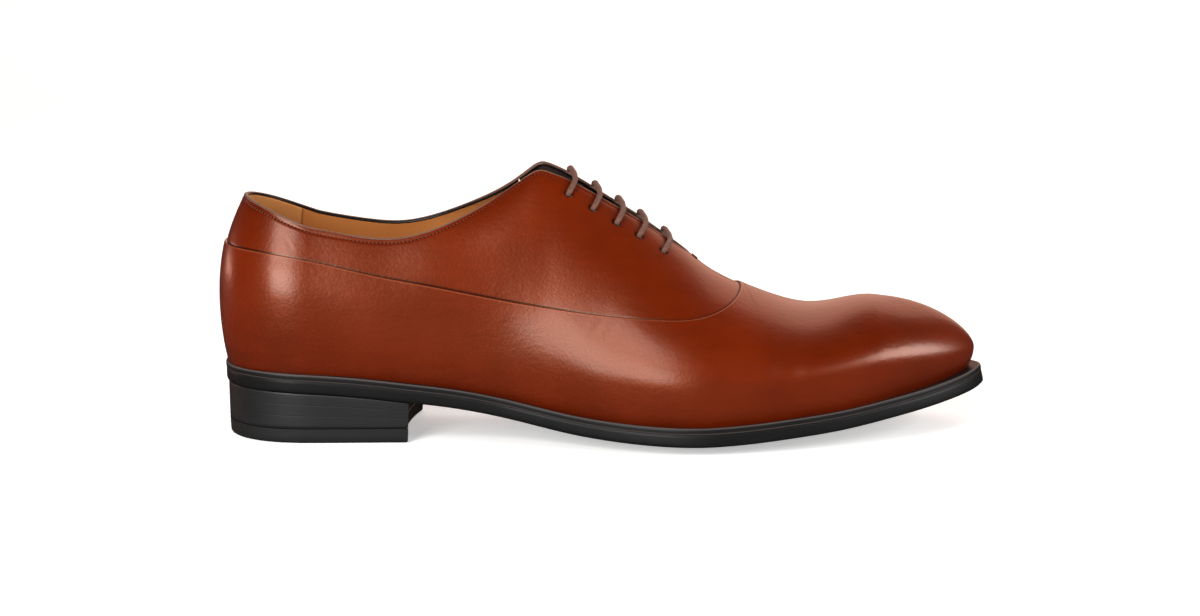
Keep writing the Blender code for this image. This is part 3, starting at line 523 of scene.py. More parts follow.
def add_piece(name, points, faces, material, slot, replaces=(), values=None, merge=0.004, sharp=40.0):
    """Mesh from points in millimetres, merged, turned outwards, riding on the shoe's one body."""
    mesh = bpy.data.meshes.new(name)
    place = (np.asarray(points).reshape(-1, 3) - ORIGIN) * MM
    mesh.from_pydata(place.tolist(), [], np.asarray(faces).tolist())
    for key, value in (values or {}).items():
        layer = mesh.attributes.new(key, "FLOAT", "POINT")
        layer.data.foreach_set("value", np.ascontiguousarray(value, np.float32).ravel())
    work = bmesh.new()
    work.from_mesh(mesh)
    bmesh.ops.remove_doubles(work, verts=work.verts, dist=merge * MM)
    bmesh.ops.recalc_face_normals(work, faces=work.faces)
    work.to_mesh(mesh)
    work.free()
    mesh.shade_smooth()
    mesh.set_sharp_from_angle(angle=np.radians(sharp))
    mesh.materials.append(material)
    piece = bpy.data.objects.new(name, mesh)
    bpy.context.scene.collection.objects.link(piece)
    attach(piece, "root")
    if replaces:
        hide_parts(*replaces)
    print(name, "triangles:", sum(len(p.vertices) - 2 for p in mesh.polygons))
    return piece


print("faces round a stack of 3 rings of 8 points:", len(ring_faces((3, 8))))

# %% [markdown]
# ## Calf, burnished and waxed
# Calf is painted deepest near the seams and the sole, as shade, and warm on the open panels, with
# painted light over the side of the vamp and a painted sheen along the facings. Wax gives the clear
# reflections. It lies thicker at heel and toe, where the leather is stiff and doesn't crack it. Pores
# and the fine break lines of the grain soften the edges of the reflections. Real pores are about a
# fifth of a millimetre, too fine to show, so they are drawn about six times too coarse.

# %% Leather finish
# Pale colour of the fold at the seam: a painted highlight with a little wear.
FOLD_HIGHLIGHT_AND_WEAR = "#b0603f"
CLOUD = (32.0, 32.0, 32.0), 5.0
BRUSH = (60.0, 60.0, 420.0), 2.0
BREAK = (240.0, 420.0, 420.0), 3.0
CLOUD_TONE = 1.1
BRUSH_TONE = 0.3
PORE_SCALE = 850.0
PORE_BUMP = 0.2, 0.0002
BREAK_BUMP = 0.24, 0.0004
CALF_ROUGHNESS = 0.33, 0.42
POLISH_SMOOTHS = -0.035
POLISH_WAX = 0.1
WAX_ROUGHNESS = 0.2


def calf(name, deep, warm, line, coat, tint="#ffb48c", shine=0.5, polished=False):
    """Leather whose tone is the piece's tone value plus a cloud and brush marks, with fine pores.

    A noise is a half on average, so half of what both noises add is taken off again. The tone value
    carries painted shade and light too. A highlight value lays a pale colour over the tone, a painted
    highlight with a little wear on the seam's fold. A line value lays the line colour, painted shade in
    the seam's groove and the black side of the binding. On a polished piece, its polish values make
    the leather smoother and the wax thicker.
    """
    material, tree, shader = new_material(name)
    place = add_node(tree, "ShaderNodeTexCoord").outputs["Object"]
    tone_and_painted_light, shade_line_and_black_side, highlight_and_wear, polish = (
        add_node(tree, "ShaderNodeAttribute", attribute_name=key).outputs["Fac"]
        for key in ("tone_and_painted_light", "shade_line_and_black_side", "highlight_and_wear", "polish"))
    noises = []
    for scale, detail in (CLOUD, BRUSH, BREAK):
        drawn = add_node(tree, "ShaderNodeMapping", {"Vector": place, "Scale": scale})
        noise = add_node(tree, "ShaderNodeTexNoise", {"Vector": drawn.outputs[0], "Scale": 1.0,
                                                      "Detail": detail})
        noises.append(noise.outputs["Fac"])
    cloud, brush, grain = noises
    tone = add_node(tree, "ShaderNodeMath", {0: cloud, 1: CLOUD_TONE, 2: -(CLOUD_TONE + BRUSH_TONE) / 2.0},
                    operation="MULTIPLY_ADD")
    tone = add_node(tree, "ShaderNodeMath", {0: brush, 1: BRUSH_TONE, 2: tone.outputs[0]},
                    operation="MULTIPLY_ADD")
    tone = add_node(tree, "ShaderNodeMath", {0: tone.outputs[0], 1: tone_and_painted_light}, operation="ADD",
                    use_clamp=True)
    colour = add_node(tree, "ShaderNodeMix", {0: tone.outputs[0], 6: linear(deep), 7: linear(warm)},
                      data_type="RGBA")
    # Over the tone go the pale fold, a painted highlight with wear, and the dark line, painted shade.
    for share, over in ((highlight_and_wear, FOLD_HIGHLIGHT_AND_WEAR), (shade_line_and_black_side, line)):
        colour = add_node(tree, "ShaderNodeMix", {0: share, 6: colour.outputs[2], 7: linear(over)},
                          data_type="RGBA")
    pores = add_node(tree, "ShaderNodeTexVoronoi", {"Vector": place, "Scale": PORE_SCALE})
    fine = add_node(tree, "ShaderNodeBump", {"Strength": PORE_BUMP[0], "Distance": PORE_BUMP[1],
                                             "Height": pores.outputs["Distance"]})
    both = add_node(tree, "ShaderNodeBump", {"Strength": BREAK_BUMP[0], "Distance": BREAK_BUMP[1],
                                             "Height": grain, "Normal": fine.outputs[0]})
    rough = add_node(tree, "ShaderNodeMapRange", {"Value": cloud, "To Min": CALF_ROUGHNESS[0],
                                                  "To Max": CALF_ROUGHNESS[1]})
    rough, wax = rough.outputs[0], coat
    if polished:
        rough, wax = (
            add_node(tree, "ShaderNodeMath", {0: polish, 1: change, 2: plain},
                     operation="MULTIPLY_ADD").outputs[0]
            for change, plain in ((POLISH_SMOOTHS, rough), (POLISH_WAX, wax)))
    set_shader(tree, shader, Base_Color=colour.outputs[2], Normal=both.outputs[0], Roughness=rough,
               Specular_IOR_Level=shine, Specular_Tint=linear(tint), Coat_Weight=wax,
               Coat_Roughness=WAX_ROUGHNESS)
    return material


# The upper's calf glows warm under its wax, the tongue's is dull and dark, and the binding is grey tan.
# The upper's line colour is painted shade for the seam's groove, the binding's that of its black side.
leather = calf("burnished_calf", "#450e00", "#671b00", "#1c0602", 0.15, polished=True)
tongue_leather = calf("tongue_calf", "#20100b", "#35190f", "#140906", 0.05)
binding_leather = calf("binding_calf", "#553c31", "#745547", "#0b0706", 0.0, "#ffffff", shine=0.2)
print("roughness of polished calf, at least:", round(CALF_ROUGHNESS[0] + POLISH_SMOOTHS, 3))

# %% [markdown]
# ## The calf skin
# The lower panel runs right round the shoe and laps over the quarters, which close the instep. Its
# cut edge is folded and pressed, so the lap is a rounded step of about a millimetre with a fine dark
# line under it. Both panels lie on the last, so one skin takes both: the step is drawn by how far a
# point stands from the seam.

# %% Seam and top edge
WALL = 2.6
LAP = 0.9
LEATHER_DEPTH = 1.7
SEAM_FRONT = 207.0
SEAM_SWEEP_START = 175.0
SEAM_SWEEP_POWER = 3.2
THROAT_END = 186.5
THROAT_ROUND = 8.5
FACING_GAP = {LATERAL: (7.2, 4.2), MEDIAL: (2.2, 1.8)}
FACING_CORNER = 0.45
EDGE_CUT = 0.6
EDGE_CUT_END = 2.0
ROW_FROM_EDGE = 2.4
VALLEY_DEPTH = 0.2
VALLEY_WIDTH = 0.6
seam_base = spline([(heel_at(0), 76.5), (side_at(36), 72.6), (side_at(60), 67.2), (side_at(84), 62.5),
                    (side_at(110), 57.2), (side_at(135), 53.6), (side_at(160), 51.4), (side_at(187), 50.6)])


def facing_gap(x, side):
    """Gap from the ridge to one facing: none at the heel, closing in a round end below the throat."""
    taper = np.interp(x, (HEEL_PIVOT, RIDGE_START, THROAT_END), (0.0, *FACING_GAP[side]))
    into_end = np.clip((x - THROAT_END + THROAT_ROUND) / THROAT_ROUND, 0.0, 1.0)
    return taper * np.sqrt(1.0 - into_end ** 2)


def top_tau(u, side):
    """Tau of the upper's top edge: the collar, then the facing edge beside the throat."""
    opening = opening_at(u)
    gap = facing_gap(HEEL_PIVOT + u - HEEL_ARC, side)
    edge = (opening + gap + np.hypot(opening - gap, FACING_CORNER * gap)) / 2.0
    return np.where(gap > 0, find_tau(u, side, edge, 0), 1.0)


def edge_tau(u, side):
    """Tau where calf and lining are cut, a little below the top; the cut runs out at the throat's end."""
    share = np.clip((side_at(THROAT_END) - u) / EDGE_CUT_END, 0.0, 1.0)
    return tau_below(u, side, top_tau(u, side), EDGE_CUT * share)


def seam_tau(u, side):
    """Tau of the lower panel's top edge, which sweeps up to the ridge in front of the throat."""
    x = HEEL_PIVOT + u - HEEL_ARC
    sweep = np.clip((x - SEAM_SWEEP_START) / (SEAM_FRONT - SEAM_SWEEP_START), 0.0, 1.0)
    rise = crest_height(side_at(SEAM_FRONT)) - seam_base(STATION_END)
    height = seam_base(u) + rise * sweep ** SEAM_SWEEP_POWER
    return np.where(sweep < 1.0, find_tau(u, side, height, 1), 1.0)


print("seam at the back of the heel, mm above the floor:", float(seam_base(heel_at(0))))

# %% [markdown]
# The skin is a grid of columns and rows. Its columns slant forward near the throat, so that they meet
# the swept seam squarely. Each is known by its length at the foot, at the seam and at the top.

# %% Columns of the skin
BAND = 1.2
FAN_STEPS = 8
HEEL_RAYS = [heel_at(90.0 * i / FAN_STEPS) for i in range(FAN_STEPS)]
SIDE_RAYS = [side_at(x) for x in (36, 46, 58, 70, 82, 93, 103, 111, 117, 122, 126, 130, 137, 147, 158,
                                  166.5)]
# Each slanted column stands at three lengths: at the feather edge, at the seam and at the top.
SLANTED_X = ((175, 175, 175), (181, 182, 179), (187, 188.5, 183), (193, 194, THROAT_END),
             (199, 198.5, 190), (205, 202.3, 194), (211, 204.8, 198), (217, 206.3, 202.5),
             (222, SEAM_FRONT, SEAM_FRONT - BAND))
# Over the vamp there are two: at the feather edge and at the ridge.
VAMP_X = ((222, SEAM_FRONT + BAND), (228, 215), (235, 224.5), (243, 235), (251.5, 247))
TOE_RAYS = [toe_at(90.0 * i / FAN_STEPS) for i in range(FAN_STEPS + 1)]
SEAMED = np.array([(u, u, u) for u in HEEL_RAYS + SIDE_RAYS]
                  + [[side_at(x) for x in row] for row in SLANTED_X]).T
AHEAD = np.array([[side_at(x) for x in row] for row in VAMP_X] + [(u, u) for u in TOE_RAYS]).T
THROAT_RAY = len(HEEL_RAYS + SIDE_RAYS) + [top for _, _, top in SLANTED_X].index(THROAT_END)


def columns(knots, steps):
    """Stations between the knots, with the same number of steps from each knot to the next."""
    fine = np.linspace(0.0, knots.shape[1] - 1.0, (knots.shape[1] - 1) * steps + 1)
    return [np.interp(fine, np.arange(knots.shape[1]), row) for row in knots]


print("columns with a seam and ahead of it:", SEAMED.shape[1], AHEAD.shape[1])

# %% [markdown]
# Square across the seam the leather falls from the lower panel to the quarter: first a rounded edge, then
# a groove, then the level quarter. Rows crowd together there and spread out over the open leather.

# %% Rows of the skin
BAND_ROWS = np.array([-BAND, -0.85, -0.55, -0.4, -0.27, -0.15, -0.07, -0.02, 0.03, 0.1, 0.25, 0.45, 0.75,
                      BAND])
EDGE_ROUND = 0.5
GROOVE_DEPTH = 0.16
GROOVE_WIDTH = 0.45
ROW_CROWD = 1.7
# Distances given to points that lie well away from the seam or from the top edge.
BELOW_SEAM = -9.0
PAST_SEAM = 9.0
FAR_FROM_TOP = 99.0
AHEAD_AND_DOWN = 1.0, -0.03


def bell(at, middle, width):
    """Bell curve: one at the middle, falling away over the width."""
    return np.exp(-((at - middle) / width) ** 2)


def seam_step(distance):
    """Lift of the skin by distance past the seam: rounded edge, then a groove, then the quarter."""
    into = np.clip(distance + EDGE_ROUND, 0.0, EDGE_ROUND)
    edge = np.sqrt(EDGE_ROUND ** 2 - into ** 2) - EDGE_ROUND
    quarter = -LAP - GROOVE_DEPTH * bell(distance, 0.0, GROOVE_WIDTH)
    return np.where(distance < 0, edge, quarter)


def stitch_valley(from_top):
    """Depth that the row of stitches pulls into the leather: a bell round the row's distance."""
    return VALLEY_DEPTH * bell(from_top, ROW_FROM_EDGE - EDGE_CUT, VALLEY_WIDTH)


def across_seam(seam, tau, side):
    """Change of station and tau for one millimetre square to the seam, towards the sole."""
    line = last_point(seam, tau, side)
    along_u = (last_point(seam + NUDGE_U, tau, side) - last_point(seam - NUDGE_U, tau, side)) / (2 * NUDGE_U)
    up_tau = (line - last_point(seam, tau - NUDGE_TAU, side)) / NUDGE_TAU
    down = unit(np.cross(last_normal(seam, tau, side), np.gradient(line, axis=0)))
    toward = last_point(seam + AHEAD_AND_DOWN[0], tau + AHEAD_AND_DOWN[1], side) - line
    down *= np.sign((down * toward).sum(-1, keepdims=True))
    uu, ut, tt = (along_u ** 2).sum(-1), (along_u * up_tau).sum(-1), (up_tau ** 2).sum(-1)
    ud, td = (along_u * down).sum(-1), (up_tau * down).sum(-1)
    area = uu * tt - ut ** 2
    return (ud * tt - td * ut) / area, (td * uu - ud * ut) / area


def skin_grid(side, steps, lower_rows, quarter_rows):
    """Stations, taus, distance past the seam and distance below the top edge over the seamed part."""
    feather, seam, top = columns(SEAMED, steps)
    tau = seam_tau(seam, side)
    du, dtau = across_seam(seam, tau, side)
    band_u = seam - BAND_ROWS[:, None] * du
    band_tau = np.minimum(tau - BAND_ROWS[:, None] * dtau, 1.0)
    rise = np.linspace(0.0, 1.0, lower_rows + 1)[:-1, None]
    low_u, low_tau = feather + (band_u[0] - feather) * rise, band_tau[0] * rise
    rise = 1.0 - np.linspace(1.0, 0.0, quarter_rows + 1)[1:, None] ** ROW_CROWD
    end = edge_tau(top, side)
    high_u = band_u[-1] + (top - band_u[-1]) * rise
    high_tau = band_tau[-1] + (end - band_tau[-1]) * rise
    distance = np.concatenate([np.full(lower_rows, BELOW_SEAM), BAND_ROWS, np.full(quarter_rows, PAST_SEAM)])
    grid_u = np.concatenate([low_u, band_u, high_u])
    grid_tau = np.concatenate([low_tau, band_tau, high_tau])
    from_top = np.linalg.norm(last_point(grid_u, grid_tau, side) - last_point(top, end, side), axis=-1)
    return grid_u, grid_tau, np.repeat(distance[:, None], len(seam), 1), from_top


def ahead_grid(side, steps, lower_rows):
    """Stations and taus over the vamp and toe, ahead of the seam."""
    feather, ridge = columns(AHEAD, steps)
    rise = np.linspace(0.0, 1.0, lower_rows + 1)[:, None]
    grid_u = feather + (ridge - feather) * rise
    distance, from_top = (np.full(grid_u.shape, value) for value in (BELOW_SEAM, FAR_FROM_TOP))
    return grid_u, np.repeat(rise, len(ridge), 1), distance, from_top


print("depth of the step at the seam, mm:", LAP)

# %% [markdown]
# Leather on a shoe that has been tried on is never quite smooth. A few soft creases lie where the foot
# bends, each a shallow trough with low ridges beside it. Over the rest goes a slow
# unevenness of a tenth of a millimetre, which makes the edges of the reflections wander.

# %% Creases
# Side, place along and up, turn in degrees, length, depth and half-width of each of the creases.
CREASES = ((LATERAL, 219.0, 30.0, 74.0, 26.0, 0.07, 3.0), (LATERAL, 229.0, 28.0, 82.0, 28.0, 0.08, 3.2),
           (LATERAL, 146.8, 45.0, 58.0, 16.0, 0.12, 1.2), (LATERAL, 153.0, 46.0, 52.0, 11.0, 0.07, 1.2),
           (LATERAL, 28.0, 79.0, 118.0, 5.0, 0.11, 0.7), (MEDIAL, 222.0, 32.0, 78.0, 26.0, 0.07, 3.0),
           (MEDIAL, 232.0, 30.0, 86.0, 26.0, 0.08, 3.2), (MEDIAL, 120.0, 42.0, 70.0, 20.0, 0.05, 1.6))
# Height, length, direction and phase of each slow wave.
WAVES = ((0.045, 31.0, (0.9, 0.2, 0.4), 0.3), (0.035, 22.0, (0.3, 0.5, 0.8), 1.7),
         (0.03, 17.0, (0.6, -0.7, 0.4), 4.1))


def relief(points, side):
    """Sum of slow sine waves and of creases; across its line, each of the creases is 1 - q^2 times a bell."""
    lift = np.zeros(points.shape[:-1])
    for height, length, direction, phase in WAVES:
        lift += height * np.sin(points @ np.array(direction) * 2.0 * np.pi / length + phase)
    for at_side, x, z, turn, length, depth, width in CREASES:
        if at_side != side:
            continue
        dx, dz = points[..., 0] - x, points[..., 2] - z
        cos, sin = np.cos(np.radians(turn)), np.sin(np.radians(turn))
        along = (dx * cos + dz * sin) / (length / 2.0)
        across = (dz * cos - dx * sin) / width
        lift -= depth * (1.0 - across ** 2) * np.exp(-across ** 2 / 2.0 - along ** 2)
    return lift


print("creases on the outer side:", sum(row[0] == LATERAL for row in CREASES), "of", len(CREASES))

# %% [markdown]
# The tone goes with the shape. Painted shade deepens it close to the sole, either side of the seam and
# along the top edge. Painted light makes it lighter over the side of the vamp, with a painted sheen
# along the facings. A fine dark line of painted shade lies under the folded edge, and a pale line on the
# fold is a painted highlight with a little wear.

# %% Tone of the skin
# A shade or light has an amount and a reach, the vamp's light a middle and a width along and up, and a
# line at the seam an amount, a middle and a width.
OPEN_TONE = 0.62
# Painted shade near the sole, either side of the seam and along the top edge.
SOLE_SHADE = 0.32, 7.0
SEAM_SHADE = 0.25, 0.8
EDGE_SHADE = 0.3, 2.5
# Painted sheen along the facings and painted light over the side of the vamp.
FACING_LIGHT = 0.3, 12.0
FACING_LIGHT_X = 118.0, 138.0
VAMP_LIGHT = 0.4
VAMP_LIGHT_X = 216.0, 32.0
VAMP_LIGHT_Z = 60.0, 16.0
# A dark line of painted shade in the groove under the folded edge.
SEAM_LINE = 0.9, 0.28, 0.36
# A pale line on the fold: a painted highlight with a little wear.
SEAM_HIGHLIGHT_AND_WEAR = 0.28, -0.42, 0.26
POLISH = (40.0, 85.0, 215.0, 245.0), (1.0, 0.0, 0.0, 1.0)


def fading(distance, amount, reach):
    """The whole amount at no distance, dying away over the reach."""
    return amount * np.exp(-distance / reach)


def skin_tone(points, distance, from_top):
    """Tone with painted shade and light, shade line, polish and fold highlight with wear, from each point's
    place.
    """
    x, y, z = points.T
    # Painted light and sheen raise the tone, painted shade lowers it.
    vamp = VAMP_LIGHT * bell(x, *VAMP_LIGHT_X) * bell(z, *VAMP_LIGHT_Z)
    facing = fading(from_top, *FACING_LIGHT) * np.interp(x, FACING_LIGHT_X, (0.0, 1.0))
    shade = (fading(z - sole_top(x, y), *SOLE_SHADE) + fading(np.abs(distance), *SEAM_SHADE)
             + fading(from_top, *EDGE_SHADE))
    return {"tone_and_painted_light": OPEN_TONE + vamp + facing - shade,
            "shade_line_and_black_side": SEAM_LINE[0] * bell(distance, *SEAM_LINE[1:]),
            "polish": np.interp(x, *POLISH),
            "highlight_and_wear": SEAM_HIGHLIGHT_AND_WEAR[0] * bell(distance, *SEAM_HIGHLIGHT_AND_WEAR[1:])}


print("tone of open leather, of 1:", OPEN_TONE)

# %% [markdown]
# Calf and lining are walls of the same kind: an outer and an inner sheet over the last on both sides of
# the shoe, joined at the foot and along the open top edge. One function builds both. Only the lifts of
# the two sheets differ.

# %% Build the skin
SKIN_STEPS = 6
SKIN_LOWER_ROWS = 40
SKIN_QUARTER_ROWS = 34
WALL_MERGE = 0.015


def wall_mesh(steps, lower_rows, quarter_rows, lifts_of, foot_drop=0.0):
    """Two sheets at lifts above the last, on both sides, closed at the foot and along the open top.

    Returns points, faces and each point's place: its foot on the last, its distance past the seam and
    its distance below the top edge.
    """
    points, faces, places = [], [], []
    count = 0
    for side in (LATERAL, MEDIAL):
        seamed = skin_grid(side, steps, lower_rows, quarter_rows), THROAT_RAY * steps + 1
        ahead = ahead_grid(side, steps, lower_rows), 0
        for (u, tau, distance, from_top), open_to in (seamed, ahead):
            base, normal = last_point(u, tau, side), last_normal(u, tau, side)
            lifts = lifts_of(base, side, distance, from_top)
            outer, inner = (base + lift[..., None] * normal for lift in lifts)
            outer[0, :, 2] -= foot_drop
            inner[0, :, 2] = outer[0, :, 2]
            near, far = count + np.arange(2 * u.size).reshape(2, *u.shape)
            faces += [grid_faces(near), grid_faces(far), strip_faces(near[0], far[0]),
                      strip_faces(near[-1, :open_to], far[-1, :open_to])]
            points += [outer.reshape(-1, 3), inner.reshape(-1, 3)]
            places += 2 * [(base.reshape(-1, 3), distance.ravel(), from_top.ravel())]
            count += 2 * u.size
    return np.concatenate(points), np.concatenate(faces), [np.concatenate(part) for part in zip(*places)]


def skin_lifts(base, side, distance, from_top):
    """Lifts of the calf: outside with step, creases and stitch valley, inside level."""
    outer = seam_step(distance) + relief(base, side) - stitch_valley(from_top)
    return outer, np.full(outer.shape, -LEATHER_DEPTH)


skin_points, skin_faces, skin_places = wall_mesh(SKIN_STEPS, SKIN_LOWER_ROWS, SKIN_QUARTER_ROWS, skin_lifts,
                                                 foot_drop=GAP)
skin = add_piece("upper_leather", skin_points, skin_faces, leather, "burnished_calf", ["upper"],
                 skin_tone(*skin_places), merge=WALL_MERGE)

# %% [markdown]
# ## Lining
# Inside the calf is a second skin of plain tan leather, matt and soft against the sock. A separate
# piece of lighter leather lines the heel, where a shoe wears first. Both follow the last at the depth of
# the wall. Under the facings the lining is painted dark as shade, so that it doesn't shine out between
# the laces.

# %% Lining finish
# Plain leather without wax: soft cloudy tan and no clear reflections. The dark brown laid over it under
# the facings is painted shade.
LINING_FINISH = {"cloud": ((45.0, 45.0, 45.0), 6.0), "grain": ((900.0, 900.0, 900.0), 4.0),
                 "bump": (0.12, 0.0003), "over": ("facing", "#38221a"),
                 "Roughness": 0.62, "Specular_IOR_Level": 0.35, "Sheen_Weight": 0.1}
lining_tan = mottled("lining_leather", "#b4692c", "#d28a45", **LINING_FINISH)
heel_tan = mottled("heel_lining_leather", "#bd773a", "#da9b56", **LINING_FINISH)
print("lining finishes:", lining_tan.name, heel_tan.name)

# %% [markdown]
# The lining has the same kind of grid as the calf, with wider steps and fewer rows, since no step shows
# on it. The heel's own lining is a patch that runs round the back from one side to the other.

# %% Lining pieces
LINING_OUT = 1.75
LINING_STEPS = 3
LINING_LOWER_ROWS = 16
LINING_QUARTER_ROWS = 12
FACING_FROM = 112.0, 121.0
HEEL_LINING_END = 26.0
HEEL_LINING_DEPTHS = 2.65, 3.1
HEEL_LINING_FOOT = 0.06
HEEL_LINING_TOP = 0.985
HEEL_LINING_COLUMNS = 30
HEEL_LINING_ROWS = 24


def lining_lifts(base, side, distance, from_top):
    """Lifts of the lining: two level sheets below the last."""
    return [np.full(distance.shape, -depth) for depth in (LINING_OUT, WALL)]


def heel_lining_mesh():
    """One patch round the back of the heel inside the lining, from its foot to just under the top."""
    half = np.linspace(0.0, side_at(HEEL_LINING_END), HEEL_LINING_COLUMNS)
    u = np.concatenate([-half[:0:-1], half])
    side = LATERAL
    top = HEEL_LINING_TOP * np.where(u < 0, top_tau(np.abs(u), -side), top_tau(np.abs(u), side))
    tau = np.linspace(HEEL_LINING_FOOT, 1.0, HEEL_LINING_ROWS)[:, None] * top
    u = np.broadcast_to(u, tau.shape)
    base, normal = last_point(u, tau, side), last_normal(u, tau, side)
    sheets = np.stack([base - depth * normal for depth in HEEL_LINING_DEPTHS])
    return sheets.reshape(-1, 3), sheet_faces(*np.arange(2 * u.size).reshape(2, *u.shape))


lining_points, lining_faces, _ = wall_mesh(LINING_STEPS, LINING_LOWER_ROWS, LINING_QUARTER_ROWS, lining_lifts)
# Painted shade: the lining turns dark brown under the facings.
lining_values = {"facing": np.interp(lining_points[:, 0], FACING_FROM, (0.0, 1.0))}
lining = add_piece("lining", lining_points, lining_faces, lining_tan, "lining_leather",
                   values=lining_values, merge=WALL_MERGE)
add_piece("heel_lining", *heel_lining_mesh(), heel_tan, "lining_leather")

# %% [markdown]
# ## Eyelets without metal
# This shoe has blind eyelets: plain holes punched through the facings, five on each side. A round
# cutter for each hole is taken out of the calf and out of the lining, and a thin dark ring stands for
# the pressed rim of the hole; its dark colour is painted shade at the mouth of the hole.

# %% Eyelets
EYELET_X = np.array([137.6, 147.4, 156.8, 165.7, 175.4])
EYELET_FROM_RIDGE = {LATERAL: (16.0, 19.0), MEDIAL: (13.0, 13.0)}
HOLE_RADIUS = 1.5
HOLE_SIDES = 24
CUTTER_LIFTS = -5.0, 2.0
RIM_OUT = 0.1
RIM_TUBE = 0.22
RIM_SIDES = 8


def eyelet_out(x, side):
    """Distance of the eyelets from the ridge, between those of the top and the lowest one."""
    return np.interp(x, EYELET_X[[0, -1]], EYELET_FROM_RIDGE[side])


def eyelet_frames():
    """Centre on the last, outward axis and two cross directions of each of the ten holes."""
    x = np.tile(EYELET_X, 2)
    side = np.repeat([LATERAL, MEDIAL], len(EYELET_X))
    out = np.concatenate([eyelet_out(EYELET_X, LATERAL), eyelet_out(EYELET_X, MEDIAL)])
    centre = hover(x, side, out, np.zeros(len(x)))
    axis = hover(x, side, out, np.ones(len(x))) - centre
    across = unit(np.cross(axis, (1.0, 0.0, 0.0)))
    return centre, axis, across, np.cross(axis, across)


def turned_rings(radii, lifts):
    """Rings of a turned shape on every eyelet's axis: radius and lift for each ring."""
    centre, axis, across, along = eyelet_frames()
    turn = turns(HOLE_SIDES)
    spokes = np.cos(turn)[:, None] * across[:, None, None] + np.sin(turn)[:, None] * along[:, None, None]
    radii, lifts = np.asarray(radii)[None, :, None, None], np.asarray(lifts)[None, :, None, None]
    return centre[:, None, None] + radii * spokes + lifts * axis[:, None, None]


def cut_out(piece, cutter):
    """Takes the cutter's volume out of a piece and keeps the result as its mesh."""
    cut = piece.modifiers.new("holes", "BOOLEAN")
    cut.solver = "EXACT"
    cut.object = cutter
    view = bpy.context.evaluated_depsgraph_get()
    mesh = bpy.data.meshes.new_from_object(piece.evaluated_get(view))
    piece.modifiers.remove(cut)
    piece.data = mesh


plugs = turned_rings([0.0, HOLE_RADIUS, HOLE_RADIUS, 0.0], np.repeat(CUTTER_LIFTS, 2))
cutter = add_piece("hole_cutter", plugs, stacked_faces(plugs.shape), leather, "burnished_calf")
cut_out(skin, cutter)
cut_out(lining, cutter)
bpy.data.objects.remove(cutter, do_unlink=True)

# The rims' dark leather is painted shade round each hole.
rim_turn = turns(RIM_SIDES)
rims = turned_rings(HOLE_RADIUS + RIM_OUT + RIM_TUBE * np.cos(rim_turn), RIM_TUBE * np.sin(rim_turn) - LAP)
add_piece("eyelet_rims", rims, stacked_faces(rims.shape, loop=True), tongue_leather, "burnished_calf")

# %% [markdown]
# ## Rolled top edge
# Calf and lining meet at the collar and down the facings, and a narrow strip of thin leather is
# rolled over both raw edges. Outside it is a pale grey tan, and the side towards the foot is
# black. It is a flat bead, so an oval is swept along the edge: round the collar, down each facing
# and round the bottom of the throat in one closed loop.

# %% Top edge bead
BEAD_DEPTH = 1.75
BEAD_ACROSS = 0.95
BEAD_ALONG = 0.62
BEAD_SIDES = 16
BEAD_TONE = 0.5
BEAD_BLACK_FROM = -0.1, 0.35
BEAD_SHARP = 80.0
PATH_STEP = 0.7


def even(path, step, closed=False):
    """Points at even spacing along a path; columns after the third are carried along."""
    if closed:
        path = np.concatenate([path, path[:1]])
    lengths = np.concatenate([[0.0], np.cumsum(np.linalg.norm(np.diff(path[:, :3], axis=0), axis=1))])
    count = int(round(lengths[-1] / step))
    places = np.linspace(0.0, lengths[-1], count + 1)[:count if closed else None]
    return np.stack([np.interp(places, lengths, column) for column in path.T], 1)


def edge_path(side):
    """Middle of the wall's cut edge on one side and the normal there, from the heel to the throat's end."""
    top = columns(SEAMED, SKIN_STEPS)[2][:THROAT_RAY * SKIN_STEPS + 1]
    tau = edge_tau(top, side)
    normal = last_normal(top, tau, side)
    return np.concatenate([last_point(top, tau, side) - BEAD_DEPTH * normal, normal], 1)


edge = np.concatenate([edge_path(LATERAL)[::-1], edge_path(MEDIAL)[1:-1]])
edge = even(edge, PATH_STEP, closed=True)
edge, edge_out = edge[:, :3], unit(edge[:, 3:])
edge_run = unit(np.roll(edge, -1, 0) - np.roll(edge, 1, 0))
edge_up = unit(np.cross(edge_run, edge_out))
bead_turn = turns(BEAD_SIDES)
bead_rings = (edge[:, None] + BEAD_ACROSS * np.cos(bead_turn)[:, None] * edge_out[:, None]
              + BEAD_ALONG * np.sin(bead_turn)[:, None] * edge_up[:, None])
bead_black = np.interp(-np.cos(bead_turn), BEAD_BLACK_FROM, (0.0, 1.0))
bead_values = {"tone_and_painted_light": np.full(bead_rings[..., 0].size, BEAD_TONE),
               "shade_line_and_black_side": np.tile(bead_black, len(edge))}
add_piece("top_edge_binding", bead_rings, ring_faces(bead_rings.shape, loop=True), binding_leather,
          "burnished_calf", values=bead_values, sharp=BEAD_SHARP)

# %% [markdown]
# ## Stitches
# One row of stitches holds the roll, about two and a half millimetres in from the edge and seventeen
# to the inch, and pulls the leather into a shallow valley. Each stitch is a small pill of thread in the
# leather's colour between two needle holes, which are dark pills of painted shade. One pill is made as a
# grid and copied along the row by its direction, its width and the leather's normal. Thread and holes
# are drawn about twice as thick as real ones, which would be too fine to show.

# %% Stitch rows
STITCH_STEP = 1.5
STITCH_SIZE = 0.46, 0.42, 0.26
PINHOLE_SIZE = 0.42, 0.66, 0.3
ROW_END_X = 183.0
PILL_SIDES = 8
PILL_RINGS = 7
